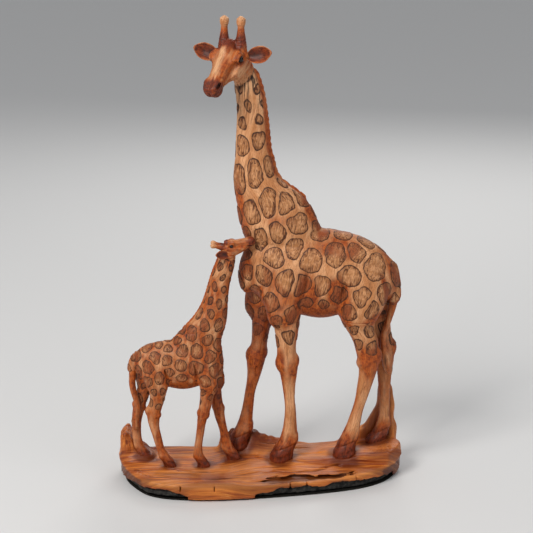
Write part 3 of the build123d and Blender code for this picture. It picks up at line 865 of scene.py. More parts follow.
def body_stain_and_shade(animal, points, normals):
    """Stain with painted shade in the folds, under the belly and down the chest, stain over the rump;
    and the belly.
    """
    s, front = animal.size, animal.facing
    joint, neck = animal.joint, animal.neck_joint
    x, y, z = points.T
    # the folds behind the shoulders and before the thighs, darkened as painted shade in the creases
    # which leg, how far ahead of its top and above it, how long and how tall, and how strong
    folds = (
        ("front", (-14, 16), (9, 30), 1.9),
        ("front", (1, 5), (13, 10), 1.5),
        ("hind", (15, 14), (8, 24), 1.8),
    )
    stain_and_shade = np.zeros(len(points))
    for hand in ("left", "right"):
        for leg, (ahead, up), (long, tall), strength in folds:
            leg_x, leg_y, leg_z, _, _ = animal.leg_at(f"leg_{leg}_{hand}", 1.0)
            side = (y - animal.middle_y) * (leg_y - animal.middle_y) > 0
            fold = near(x, leg_x + front * ahead * s, long * s) * near(z, leg_z + up * s, tall * s)
            stain_and_shade = np.maximum(stain_and_shade, side * strength * fold)
    tilt, slope = normals[:, 0] * front, normals[:, 2]
    on_body = ease(z, joint - 6 * s, joint)
    # painted shade where the belly faces down and down the chest, mixed with the stain
    belly = ease(-slope, 0.0, 0.6) * ease(z, joint + 34 * s, joint + 12 * s) * on_body
    chest = ease(tilt, 0.30, 0.8) * ease(z, neck + 45 * s, neck - 5 * s) * on_body
    rump = ease(-tilt, 0.40, 0.85) * ease(z, neck + 30 * s, neck) * on_body
    back = ease(slope, 0.70, 0.97) * ease(z, joint + 20 * s, joint + 35 * s)
    nape = ease(-tilt, 0.55, 0.95) * ease(z, neck - 5 * s, neck + 10 * s)
    cloud = ease(noise(points + 70, 19 * s), 0.15, 0.6) * ease(z, neck + 60 * s, neck) * on_body
    patchy = 0.8 + 0.5 * noise(points + 30, 9 * s)
    stain_and_shade = np.maximum.reduce([stain_and_shade, 1.5 * belly, 1.35 * chest, 1.3 * rump])
    stain_and_shade = np.maximum.reduce([stain_and_shade * patchy, 0.55 * back, 0.95 * nape, 0.75 * cloud])
    return stain_and_shade, belly


def hoof_relief(animal, points):
    """The groove at the top of each hoof, and the fine rings below it."""
    s = animal.size
    x, y, z = points.T
    raised = np.zeros(len(points))
    for leg in LEGS:
        leg_x, leg_y, leg_z, _, _ = animal.leg_at(leg, 0.115)
        mine = ease(np.hypot(x - leg_x, y - leg_y), 13 * s, 11 * s)
        slope = (z - leg_z) + animal.facing * (x - leg_x) * 0.35
        raised -= mine * 0.55 * s * near(slope, 0.0, 0.75 * s)
        raised += 0.12 * s * mine * ease(slope, 0, -1.5 * s) * np.sin(slope / (0.85 * s))
    return raised


def coat_values(animal, points, normals, seeds, spacing, mane):
    """The coat's values for points on the body, and how high to raise them."""
    s, root = animal.size, animal.size**0.5
    x, _, z = points.T
    behind = (x - middle(animal.node("torso"))[0]) * animal.facing < 0
    below = np.maximum(0, animal.joint - (11 + 8 * behind) * s - z) / (4 * s)
    mane_gap = np.full(len(points), 99.0)
    for place in mane:
        mane_gap = np.minimum(mane_gap, np.linalg.norm(points - place, axis=1))
    ridge = ease(mane_gap, 4.2 * s, 2.0 * s)
    stain_and_shade, belly = body_stain_and_shade(animal, points, normals)
    under = ease(belly, 0.5, 1.0)
    depth = patch_depth(animal, points, seeds, spacing) - below - 3 * under - 4 * ridge
    stain_and_shade = np.maximum(stain_and_shade, 0.95 * ridge)
    # painted shade under the belly, in the dark value
    dark = 0.35 * under
    for leg in LEGS:
        on_leg, hoof = leg_stain_and_shade(animal, points, normals, leg)
        stain_and_shade = np.maximum(stain_and_shade, on_leg)
        dark = np.maximum(dark, hoof)
    if animal.name == "calf":
        stain_and_shade = np.maximum(stain_and_shade, 0.62 + 0.4 * noise(points + 60, 12 * s))
    stain_and_shade = stain_and_shade * (0.85 + 0.4 * noise(points, (3.5 * s, 3.5 * s, 11 * s)))

    lines = grain_lines(animal, points)
    grain = noise(lines, (14 * s, 1.3 * s, 1.3 * s)) + 0.6 * noise(lines + 50, (8 * s, 0.9, 0.9))
    neck_top = ease(z, animal.throat[2] - 30 * s, animal.throat[2] - 4 * s)
    checks = noise(lines + 20, (17 * s, 1.2 * s, 1.2 * s))
    crack = ease(checks, 0.46 - 0.26 * neck_top, 0.64 - 0.2 * neck_top)
    crack = crack * (1 - ease(belly, 0.2, 0.6)) * (1 - ridge)
    seam = near((points - animal.throat) @ animal.head_way, 0.0, 0.8 * s)
    raised = 0.30 * root * ease(depth, -0.35, 0.55) - 0.26 * root * near(depth, -0.1, 0.42 * root)
    raised = raised * ease(depth, -3.0, -0.6) + hoof_relief(animal, points)
    raised += 0.07 * grain * (1 - dark) - 0.25 * s * crack - 0.3 * s * seam
    values = {
        "patch": depth / s**0.6,
        "stain_and_shade": np.clip(stain_and_shade, 0, 1),
        "dark": np.clip(dark, 0, 1),
        "pale": np.clip(0.3 * neck_top, 0, 1),
        "recess": np.clip(crack * (0.2 + 0.65 * neck_top) + 0.45 * seam, 0, 1),
        "flow": lines / s**0.4,
    }
    return values, raised


# ---------------------------------------------------------------- the animals' pieces
def body_skins(animal, clay):
    """One animal's body of clay, divided at the same joints as the CAD."""
    s = animal.size
    leg_top = np.array((0, 0, animal.joint))
    neck_root = np.array((0, 0, animal.neck_joint))
    planes = {
        "torso": [(leg_top, -UP, 0), (neck_root, UP, TUCK)],
        "neck": [(neck_root, -UP, 0), (animal.throat, animal.head_way, TUCK)],
    }
    skins = {}
    for part, cuts in planes.items():
        low, high = box(animal.node(part))
        skins[part] = clay.skin(low - 9 * s, high + 9 * s, cuts)
    margin = np.array((11.5, 12.0, 4.0)) * s
    split = np.array((0, animal.middle_y, 0))
    for leg in LEGS:
        low, high = box(animal.node(leg))
        away = np.array((0, 1 if middle(animal.node(leg))[1] < animal.middle_y else -1, 0))
        skins[leg] = clay.skin(low - margin, high + margin, [(leg_top, UP, TUCK), (split, away, 0)])
    return skins


def coat_piece(animal, part, vertices, quads, values, materials):
    """A finished piece of one animal, in the material that all its carved pieces share."""
    name = f"{animal.name}_{part}_carved"
    piece(name, vertices, quads, values, materials["coat"], animal.node(part))


def body_pieces(animal, materials):
    """The torso, neck and legs of one animal."""
    s = animal.size
    mane = mane_places(animal)
    skins = body_skins(animal, body_clay(animal, mane))
    cloud = np.concatenate([vertices for vertices, _ in skins.values()])
    high_enough = cloud[:, 2] > animal.joint - 20 * s
    seeds, spacing = choose_seeds(animal, cloud[high_enough & (cloud[:, 2] < animal.throat[2] + 6 * s)])
    for part, (vertices, quads) in skins.items():
        vertices = relax(vertices, quads, 2)
        normals = vertex_normals(vertices, quads)
        values, raised = coat_values(animal, vertices, normals, seeds, spacing, mane)
        vertices = vertices + normals * raised[:, None]
        coat_piece(animal, part, vertices, quads, values, materials)


def horn_share(animal, points):
    """How far along the nearer horn points lie, from 0 at its root to 1 at its tip."""
    shares = []
    for side in ("left", "right"):
        root, tip, axes = limb_line(animal, f"horn_{side}")
        shares.append((points - root) @ axes[0] / np.linalg.norm(tip - root))
    on_left = (points - animal.eyes) @ animal.left > 0
    return np.where(on_left, *shares)


def head_values(animal, points):
    """The coat's values for points on the head and horns, and how high to raise them."""
    s = animal.size
    place = animal.in_head(points)
    forward, left, crown = place.T / s
    muzzle = animal.muzzle / s
    aside = np.abs(left)
    streaks = noise(place + 40 * s, (10 * s, 1.4 * s, 1.4 * s))
    fine = noise(place + 90 * s, (6 * s, 0.7 * s, 0.7 * s))
    nose = ease(forward, muzzle * 0.60, muzzle * 0.80)
    blaze = near(left, -0.8, 3.5) * ease(forward, muzzle * 0.72, muzzle * 0.5) * ease(forward, -6, 0)
    blaze = blaze * ease(crown, -3, 1.5) * (1.0 if animal.name == "mother" else 0.3)
    cheek = near(forward, 6, 8.5) * ease(crown, -1.5, -5.5) * (1.0 if animal.name == "mother" else 0.5)
    eye = np.exp(-((forward - 0.8) ** 2 / 34 + crown**2 / 24)) * ease(aside, 5, 8)
    socket = np.exp(-((forward - 0.8) ** 2 / 13 + crown**2 / 9)) * ease(aside, 7, 9.0)
    mouth = near(crown, -2.7, 0.8) * ease(forward, muzzle * 0.6, muzzle * 0.7)
    nostril_at = muzzle - (6.2 if animal.name == "mother" else 1.8)
    nostril = near(aside, 5.4, 1.9) * near(crown, 2.9, 1.7) * near(forward, nostril_at, 2.8)
    poll = ease(forward, -2.0, -6.5) * ease(crown, -1.0, 3.0)
    share = horn_share(animal, points)
    on_horn = ease(share, 0.16, 0.38) * ease(np.abs(forward), 1.0, 4.0)

    stain_and_shade = 0.68 + 0.45 * streaks + 0.12 * fine
    stain_and_shade = stain_and_shade * (1 - 0.7 * blaze) * (1 - 0.6 * cheek)
    stain_and_shade = np.maximum.reduce([stain_and_shade, 0.95 * nose, 0.95 * eye, 0.9 * poll])
    stain_and_shade = stain_and_shade * (1 - on_horn) + on_horn * (0.98 - 0.72 * ease(share, 0.5, 0.85))
    pale = np.maximum(0.7 * blaze, 0.5 * cheek) * (0.8 + 0.6 * streaks)
    pale = pale * (1 - on_horn) + 0.5 * on_horn * ease(share, 0.84, 0.95)
    dark = np.maximum.reduce([(0.88 + 0.35 * streaks) * nose, 0.85 * socket, 0.9 * poll])
    dark = dark * (1 - on_horn) + 0.95 * on_horn * ease(share, 0.70, 0.34)
    hole = np.clip(mouth + nostril, 0, 1)
    raised = 0.09 * s * streaks + 0.05 * s * fine
    gap = (points - animal.throat) @ animal.head_way
    seam = near(gap, 0.0, 0.8 * s)
    values = {
        "patch": -4.0,
        "stain_and_shade": np.clip(stain_and_shade, 0, 1),
        "dark": np.clip(np.maximum(dark, hole), 0, 1),
        "pale": np.clip(pale, 0, 1),
        "recess": np.clip(0.85 * hole + 0.45 * seam, 0, 1),
        "flow": place,
    }
    return values, raised - 0.3 * s * seam


def ear_values(animal, vertices, quads, axes, place):
    """The coat's values on an ear: dark in its hollow, pale along its rim."""
    s = animal.size
    along, across, _ = place.T
    rim = np.abs(across) / ear_breadth((along + 1) / 2)
    facing = vertex_normals(vertices, quads) @ axes[2]
    hollow = ease(facing, -0.1, 0.4) * ease(rim, 0.95, 0.72) * ease(along, 0.96, 0.8)
    deep = np.exp(-(((along + 0.2) / 0.5) ** 2) - (rim / 0.45) ** 2) * ease(facing, 0.0, 0.5)
    hairs = noise(place * (6, 14, 1), 1.0)
    return {
        "patch": -4.0,
        "stain_and_shade": np.clip(0.66 + 0.3 * noise(vertices, 3 * s) + 0.3 * ease(along, -0.2, -0.9), 0, 1),
        "dark": np.clip((0.82 + 0.25 * hairs) * hollow + 0.3 * deep, 0, 1),
        "pale": ease(rim, 0.78, 0.97) * 0.9,
        "recess": 0.7 * deep,
        "flow": place * (6 * s, 4 * s, s),
    }


def horn_cut(animal):
    """Where the head ends and the horns begin: a point and the way out of the head."""
    if animal.name == "mother":
        low, high = box(animal.node("horn_left"))
        return np.array((0, 0, low[2] + 0.30 * (high[2] - low[2]))), UP
    horns = (middle(animal.node("horn_left")) + middle(animal.node("horn_right"))) / 2
    way = unit(horns - animal.eyes)
    return animal.eyes + way * 6.0, way


def head_pieces(animal, materials):
    """The head, horns and ears of one animal."""
    clay = head_clay(animal)
    root, way = horn_cut(animal)
    head_planes = [(animal.throat, -animal.head_way, 0), (root, way, TUCK)]
    low = box(animal.node("head"))[0]
    high = outline(animal.node(part) for part in HEAD_PARTS)[1]
    reach = 4.0
    skins = {"head": clay.skin(low - reach, high + reach, head_planes)}
    reach = 3.2 * animal.size
    for side, hand in (("left", 1), ("right", -1)):
        planes = [(root, -way, 0), (animal.eyes, -hand * animal.left, 0)]
        low, high = box(animal.node(f"horn_{side}"))
        skins[f"horn_{side}"] = clay.skin(low - reach, high + reach, planes)
    for part, (vertices, quads) in skins.items():
        vertices = relax(vertices, quads, 1)
        values, raised = head_values(animal, vertices)
        vertices = vertices + vertex_normals(vertices, quads) * raised[:, None]
        coat_piece(animal, part, vertices, quads, values, materials)
    for side in ("left", "right"):
        (vertices, quads), (centre, axes, half) = ear_skin(animal, side)
        vertices = relax(vertices, quads, 1)
        place = (vertices - centre) @ axes.T / half
        values = ear_values(animal, vertices, quads, axes, place)
        coat_piece(animal, f"ear_{side}", vertices, quads, values, materials)


def tail_piece(animal, materials):
    """The tail, with a tuft that is cut in long strokes."""
    s = animal.size
    node = animal.node("tail")
    low, high = box(node)
    clay = Clay(low - 3, high + 3, HEAD_STEP[animal.name] * 1.1)
    clay.add_node(node)
    x, y, a, b = section(node, animal.tail_joint - 1)
    clay.soften(0.7 * s)
    clay.press(ellipsoid((x, y, animal.tail_joint + 1.5 * s), (a * 0.95, b * 0.95, 4 * s)), 1.0 * s)
    vertices, quads = clay.skin(low - 2.5, high + 2.5)
    vertices = relax(vertices, quads, 1)
    normals = vertex_normals(vertices, quads)
    share = (vertices[:, 2] - low[2]) / (animal.tail_joint - low[2])
    tuft = ease(share, 0.36, 0.2)
    strokes = noise(vertices, (0.9 * s, 0.9 * s, 9 * s))
    vertices = vertices + normals * ((0.06 + 0.3 * tuft) * s * strokes)[:, None]
    values = {
        "patch": -4.0,
        "stain_and_shade": np.clip(0.62 + 0.4 * noise(vertices, (3 * s, 3 * s, 9 * s)), 0, 1),
        "dark": np.clip(0.25 * tuft + 0.2 * tuft * strokes, 0, 1),
        "pale": 0.0,
        "recess": np.clip(0.6 * tuft * ease(strokes, 0.0, -0.6), 0, 1),
        "flow": vertices[:, [2, 0, 1]],
    }
    coat_piece(animal, "tail", vertices, quads, values, materials)


# ---------------------------------------------------------------- the base
def edge_y(x):
    """Where the base's front edge is at a place along it, from the CAD base's own outline."""
    return float(np.interp(x, EDGE_X, EDGE_Y))


def feet():
    """Each leg's node, the height of its sole, and its section just above that."""
    rows = []
    for name in ("mother", "calf"):
        for leg in LEGS:
            node = f"{name}_{leg}"
            sole = box(node)[0][2]
            rows.append((node, sole, section(node, sole + 1.5)))
    return rows


def split_path(start, end, inset, step, sway):
    """Places along the top of the slab, beside its front edge, where a long split runs."""
    places = []
    for x in np.arange(start, end, step):
        wobble = noise(np.array([[x, inset * 9, 0.0]]), 13)[0]
        wobble += 0.4 * noise(np.array([[x, inset, 5.0]]), 4)[0]
        places.append((x, edge_y(x) + inset + sway * wobble, SLAB_TOP))
    return places


def tapered(places, power):
    """Places with a share that swells from both ends to the middle."""
    shares = (np.arange(len(places)) + 0.5) / len(places)
    return list(zip(places, np.sin(np.pi * shares) ** power))


def add_split(clay, places, width, depth):
    """A narrow split that leans under the wood behind it."""
    lean = 0.5
    axes = ((1, 0, 0), (0, cos(lean), sin(lean)), (0, -sin(lean), cos(lean)))
    for place, taper in tapered(places, 0.5):
        clay.press(ellipsoid(place, (3.0, width * taper, depth * taper), axes), -0.5)


def add_ledge(clay, places, drop):
    """Lowers the slab's front lip below a ledge, which overhangs a dark split."""
    for (x, y, z), taper in tapered(places, 0.6):
        step = (4.5, 7.0, (2.6 + drop) * (0.4 + 0.6 * taper))
        clay.press(ellipsoid((x, y - 6.5, z + 2.6), step), -0.9)
    for (x, y, z), taper in tapered(places, 0.6):
        open_by = 1.1 + 0.7 * noise(np.array([[x, 3.0, 1.0]]), 5)[0]
        mouth = (2.6, 4.2 * taper, open_by * taper + 0.15)
        clay.press(ellipsoid((x, y + 0.8, z - drop * 0.7), mouth), -0.4)


def add_ridge(press, right, tall):
    """The broken ridge that stands up at the slab's right end, with its sloping flank."""
    for number in range(14):
        share = number / 13
        up = 3 + (tall - 3) * share
        rough = 0.8 * sin(5.1 * number)
        spine = (4.4 - 2.2 * share, 3.3, 4.6)
        press(right - 5.5 - 3.2 * share + rough, 33.0, up, spine, 1.6)
        press(right - 11 - 3 * share, 34.0, up, (6.5 - 4 * share, 2.8, 5.0), 2.2)


def base_clay():
    """The driftwood slab, with its splits, ledges, hollows, stump, mound and broken ridge."""
    low, high = box("base")
    clay = Clay(low - 5, high + 5, BASE_STEP)
    for node in ("base", "bark_front", "bark_left", "mother_foot_pegs", "calf_foot_pegs"):
        clay.add_node(node, highest=high[2] if node == "base" else SLAB_TOP - 1.5)
    for node, sole, _ in feet():
        clay.add_node(node, highest=max(sole + 2.0, SLAB_TOP - 0.5))
    clay.soften(1.1)

    def press(x, y, up, radii, blend):
        clay.press(ellipsoid((x, y, SLAB_TOP + up), radii), blend)

    right, left = high[0], low[0]
    press(right - 62, 15, 0.5, (44, 13, 2.2), 3.0)
    press(right - 30, 14, 3.5, (30, 9, 4.0), 3.0)
    press(right - 12, 20, 3.0, (10, 14, 7.0), 5.0)
    add_ridge(press, right, high[2] - 5 - SLAB_TOP)
    press(left + 12, 16, 2, (13, 12, 4.5), 4.0)
    press(left + 5.5, 18, 9, (4.5, 11, 10), 3.0)
    for number in range(8):
        tall = 19.5 + 1.4 * sin(2.3 * number)
        press(left + 4.2, 9.5 + 2.8 * number, tall * 0.5, (2.8, 2.2, tall * 0.58), 1.8)
    press(4, 30, 2.0, (34, 8, 5.0), 4.0)
    for number in range(9):
        share = number / 8
        tall = 15 * ease(share, -0.3, 0.25) * (1 - 0.75 * share) + 3
        press(-27 + 46 * share, 32.5 - 2 * share, tall * 0.35, (4.6, 3.6, tall * 0.75), 2.4)

    press(-40, -19, 1.5, (46, 8, 2.6), -3.0)
    press(42, -9, 1.2, (40, 4.0, 2.0), -2.5)
    add_ledge(clay, split_path(-18, 84, 8.5, 1.6, 3.4), 2.6)
    splits = (                               # start, end, inset, sway, width, depth
        (0, 62, 19.0, 3.5, 0.9, 2.8),
        (-92, -52, 15.0, 3.0, 0.8, 2.6),
        (-70, -24, 27.0, 2.5, 0.7, 2.4),
        (-40, -18, 12.0, 2.0, 0.7, 2.2),
    )
    for start, end, inset, sway, width, depth in splits:
        add_split(clay, split_path(start, end, inset, 2.0, sway), width, depth)
    for x, long in ((-57, 3.2), (-33, 2.2), (21, 3.0), (33, 1.8), (69, 2.6)):
        press(x, edge_y(x) + 1.0, -3.5, (0.45, long, long), -0.5)
    return clay


def flow(points):
    """Where a point lies along and across the slab's grain, which bends around the feet."""
    x, y, z = points.T
    flat = points * (1, 1, 0)
    across = y + 1.15 * (z - SLAB_TOP) + 5.0 * noise(flat, 46) + 1.6 * noise(flat + 7, 17) - 0.10 * x
    for _, _, (foot_x, foot_y, foot_a, foot_b) in feet():
        swirl = near(x, foot_x, 2.3 * foot_a) * near(y, foot_y, 1.7 * foot_b)
        across += 0.62 * foot_b * swirl * np.tanh((y - foot_y) / 3.0)
    return np.stack((x + 3.0 * noise(flat + 3, 30), across, 0.15 * z), 1)


def grain_relief(points, lines):
    """Long ridges and furrows along the slab, and upright ones on what stands up from it."""
    tall = ease(points[:, 2], SLAB_TOP + 5, SLAB_TOP + 13)
    flat = noise(lines, (30, 2.6, 3)) + 0.7 * noise(lines + 31, (18, 1.25, 3))
    upright = noise(points, (2.0, 2.0, 17)) + 0.6 * noise(points + 31, (1.3, 1.3, 9))
    return flat * (1 - tall) + upright * tall, tall


def bark_pieces(clay, material):
    """The bark left on the slab's edge, which is taken out of the slab's clay."""
    points = clay.points(tuple(slice(0, n) for n in clay.field.shape))
    x, y, z = np.moveaxis(points, -1, 0)
    along = points.reshape(-1, 3) * (1, 0.3, 0)
    wave = noise(along, 6.5) + 0.5 * noise(along, 2.2)
    wave = wave.reshape(clay.field.shape).astype(np.float32)
    whole = clay.field.copy()
    for node in ("bark_front", "bark_left"):
        low, high = box(node)
        crest = high[2] - 1.0 + 1.1 * wave
        slant = 3.2 * ease(x, low[0] + 22, low[0]) + 2.6 * ease(x, high[0] - 16, high[0])
        sides = (z - crest + slant, low[0] - x, x - high[0], -whole - 2.6, y - 24)
        inside = np.maximum.reduce(sides)
        part = clay.with_field(np.maximum(whole + 0.75, inside))
        clay.field = np.maximum(clay.field, -inside).astype(np.float32)
        vertices, quads = part.skin(low - 3, high + 3)
        normals = vertex_normals(vertices, quads)
        lumps = noise(vertices, (3.4, 3.4, 1.9)) + 0.8 * noise(vertices + 13, 1.3)
        vertices = vertices + normals * (0.34 * lumps)[:, None]
        values = {
            "dark": ease(lumps, 0.2, -0.8),
            "pale": ease(vertices[:, 2], high[2] - 1.6, high[2] + 0.4),
        }
        piece(f"{node}_rough", vertices, quads, values, material, node)


def base_values(points, lines, grain, deep, at_feet):
    """The driftwood's values: dark at the feet and in the furrows, pale along the front rim, and
    painted shade where the slab sinks below its top behind the front edge.
    """
    x, y, z = points.T
    patches = noise(lines + 90, (26, 9, 9))
    edge = y - np.interp(x, EDGE_X, EDGE_Y)
    rim = ease(np.abs(z - SLAB_TOP + 1), 3.5, 1.0) * ease(edge, 7.0, 2.0)
    # painted shade in the splits, the hollows and under the front ledge, wherever the slab sinks below
    # its top
    sunk_shade = ease(z, SLAB_TOP - 0.6, SLAB_TOP - 2.4) * ease(edge, 2.5, 4.5)
    mound = near(x, -6, 26) * ease(y, 15, 26)
    ridge = ease(z, SLAB_TOP + 6, SLAB_TOP + 16) * ease(x, 60, 75)
    light = ease(patches, -0.1, -0.6) + ridge
    dark = 0.35 * deep + 0.8 * at_feet + 0.85 * mound + 0.6 * ease(patches, 0.15, 0.6)
    pale = 0.85 * rim + 0.3 * ease(grain, 0.35, 0.9) + 0.5 * light
    return {"dark": np.clip(dark, 0, 1), "pale": np.clip(pale, 0, 1), "sunk_shade": sunk_shade, "flow": lines}


def base_pieces(materials):
    """The slab and the bark left on its edge."""
    clay = base_clay()
    bark_pieces(clay, materials["bark"])
    low, high = box("base")
    vertices, quads = clay.skin(low - 4.5, high + 4.5)
    vertices = relax(vertices, quads, 1)
    normals = vertex_normals(vertices, quads)
    lines = flow(vertices)
    grain, tall = grain_relief(vertices, lines)
    at_feet = np.zeros(len(vertices))
    for _, _, (foot_x, foot_y, foot_a, _) in feet():
        gap = np.hypot(vertices[:, 0] - foot_x, vertices[:, 1] - foot_y)
        at_feet = np.maximum(at_feet, ease(gap, foot_a + 7, foot_a + 0.5))
    under = ease(-normals[:, 2], 0.5, 0.8)
    deep = ease(grain, -0.25, -0.9)
    raised = (0.26 * grain - 0.5 * deep) * (1 - 0.8 * at_feet) * (1 - under)
    vertices = vertices + normals * raised[:, None]
    values = base_values(vertices, lines, grain, deep, at_feet)
    values["tall"] = tall
    piece("base_carved", vertices, quads, values, materials["driftwood"], "base")


# ---------------------------------------------------------------- materials
def colour(code):
    """A colour from its hexadecimal code, as Blender's linear values."""
    parts = [int(code[i : i + 2], 16) / 255 for i in (0, 2, 4)]
    return (*[c / 12.92 if c <= 0.04045 else ((c + 0.055) / 1.055) ** 2.4 for c in parts], 1.0)


class Shader:
    """A node material in the making."""

    def __init__(self, name):
        self.material = bpy.data.materials.new(name)
        self.material.use_nodes = True
        self.tree = self.material.node_tree
        self.surface = self.tree.nodes["Principled BSDF"]

    def put(self, socket, value):
        """Links a socket to another, or sets it to a number or a colour."""
        if isinstance(value, bpy.types.NodeSocket):
            self.tree.links.new(value, socket)
        else:
            socket.default_value = value

    def node(self, kind, output, inputs, **settings):
        """A new node's output, with its inputs and its settings in place."""
        node = self.tree.nodes.new("ShaderNode" + kind)
        for key, value in settings.items():
            setattr(node, key, value)
        for key, value in inputs.items():
            self.put(node.inputs[key], value)
        return node.outputs[output]

    def value(self, name):
        """A value that was worked out at every vertex."""
        return self.node("Attribute", "Fac", {}, attribute_name=name)

    def stretched(self, place, scale, shift, detail, rough, bend):
        """Noise over a place, at its own scale along each axis."""
        inputs = {"Vector": place, "Scale": scale, "Location": (shift, shift, 0)}
        inputs = {
            "Vector": self.node("Mapping", "Vector", inputs),
            "Scale": 1.0,
            "Detail": detail,
            "Roughness": rough,
            "Distortion": bend,
        }
        return self.node("TexNoise", "Fac", inputs)

    def flow_noise(self, across, along, detail=3.0, rough=0.55, bend=0.0, shift=0.0):
        """Noise drawn out along the grain's own lines, which the mesh carries."""
        lines = self.node("Attribute", "Vector", {}, attribute_name="flow")
        return self.stretched(lines, (1 / along, 1 / across, 1 / across), shift, detail, rough, bend)

    def noise(self, across, along=None, axis=2, detail=3.0, rough=0.55, bend=0.0):
        """Noise with features across millimetres wide, drawn out along an axis."""
        scale = [MM / across] * 3
        if along:
            scale[axis] = MM / along
        place = self.node("TexCoord", "Object", {})
        return self.stretched(place, scale, 0.0, detail, rough, bend)

    def math(self, operation, a, b=0.0):
        """A sum with one value or two."""
        return self.node("Math", "Value", {0: a, 1: b}, operation=operation)

    def span(self, value, low, high, start=0.0, end=1.0):
        """A value's range from low to high as start to end, smoothly, and held beyond it."""
        limits = {"From Min": low, "From Max": high, "To Min": start, "To Max": end}
        kind = {"interpolation_type": "SMOOTHSTEP"}
        return self.node("MapRange", "Result", {"Value": value, **limits}, **kind)

    def paint(self, under, *coats):
        """A colour with coats over it, each (how much of it, colour)."""
        for share, over in coats:
            ends = [colour(item) if isinstance(item, str) else item for item in (under, over)]
            inputs = {0: share, 6: ends[0], 7: ends[1]}
            under = self.node("Mix", 2, inputs, data_type="RGBA")
        return under

    def bump(self, height, depth, strength=1.0):
        """Bump from a height of 0 to 1 that stands for depth millimetres."""
        inputs = {"Strength": strength, "Distance": depth / MM, "Height": height}
        self.put(self.surface.inputs["Normal"], self.node("Bump", "Normal", inputs))

    def finish(self, shade, roughness, **fixed):
        """The finished material; fixed values go on the shader's own sockets."""
        self.put(self.surface.inputs["Base Color"], shade)
        self.put(self.surface.inputs["Roughness"], roughness)
        for name, amount in fixed.items():
            self.surface.inputs[name.replace("_", " ")].default_value = amount
        return self.material


def coat_material():
    """Pale carved wood with stained patches, hatched with dark strokes, darker recesses, and painted
    shade brought in by the stain and dark values.
    """
    m = Shader("carved_coat")
    depth, stain_and_shade, dark = m.value("patch"), m.value("stain_and_shade"), m.value("dark")
    pale, recess = m.value("pale"), m.value("recess")
    broad = m.flow_noise(7.0, 22.0)
    streak = m.flow_noise(0.8, 12.0, detail=4, rough=0.6, shift=1.0)
    fine = m.flow_noise(0.34, 4.0, detail=4, rough=0.65, shift=2.0)
    strokes = m.flow_noise(1.7, 13.0, detail=1, rough=0.4, bend=0.2, shift=5.0)
    mottle = m.noise(2.4, detail=4)

    wood = m.paint(
        "dba172",
        (m.span(broad, 0.35, 0.65), "bb7b4a"),
        (m.span(streak, 0.50, 0.68, 0, 0.7), "8f5228"),
        (m.span(fine, 0.46, 0.32, 0, 0.7), "663314"),
        (m.math("MULTIPLY", pale, m.span(streak, 0.62, 0.45, 0.15, 0.85)), "e6bd92"),
    )
    brown = m.paint(
        "a84e15",
        (m.span(mottle, 0.35, 0.7), "6f2909"),
        (m.span(streak, 0.5, 0.66, 0, 0.65), "c96e28"),
        (m.span(fine, 0.42, 0.3, 0, 0.7), "401706"),
    )
    rim_share = m.span(depth, 4.6, 0.8, 0.35, 1.0)
    centred = m.math("ABSOLUTE", m.math("SUBTRACT", strokes, 0.5))
    hatch = m.math("MULTIPLY", m.span(centred, 0.056, 0.02), rim_share)
    patch = m.paint(
        "c88f61",
        (m.span(mottle, 0.35, 0.65), "a86e40"),
        (m.span(stain_and_shade, 0.1, 0.85, 0, 0.9), "8a3b10"),
        (m.span(fine, 0.58, 0.75, 0, 0.4), "d8a273"),
        (m.span(depth, 2.6, 0.2, 0, 0.5), "74401c"),
        (hatch, "582b12"),
    )
    hoof = m.paint(
        "71290d",
        (m.span(mottle, 0.35, 0.7), "411505"),
        (m.span(streak, 0.5, 0.7, 0, 0.6), "9c461a"),
    )
    inside = m.span(depth, -0.15, 0.25)
    edge = m.math("ABSOLUTE", m.math("ADD", depth, 0.05))
    line = m.math("MULTIPLY", m.span(edge, 0.50, 0.14), m.span(mottle, 0.3, 0.55, 0.6, 1.0))
    skin = m.paint(
        wood,
        # the brown stain, which also paints the shade in the folds, under the belly, down the chest and
        # over the far legs
        (m.span(stain_and_shade, 0.05, 0.85), brown),
        (inside, patch),
        (line, "40200e"),
        # the hoof colour, which also paints the shade under the belly and down the far front leg
        (m.span(dark, 0.1, 0.95), hoof),
        (recess, "1d0d06"),
    )
    height = m.math("ADD", m.math("MULTIPLY", streak, 0.5), m.math("MULTIPLY", fine, 0.35))
    cuts = m.math("MULTIPLY", m.math("MULTIPLY", hatch, inside), 0.8)
    m.bump(m.math("SUBTRACT", height, cuts), 0.28, 0.8)
    wear = m.math("ADD", m.math("MULTIPLY", fine, 0.5), m.math("MULTIPLY", dark, -0.12))
    rough = m.span(wear, -0.2, 0.4, 0.32, 0.62)
    return m.finish(skin, rough, Specular_IOR_Level=0.3, Coat_Weight=0.05, Coat_Roughness=0.35)


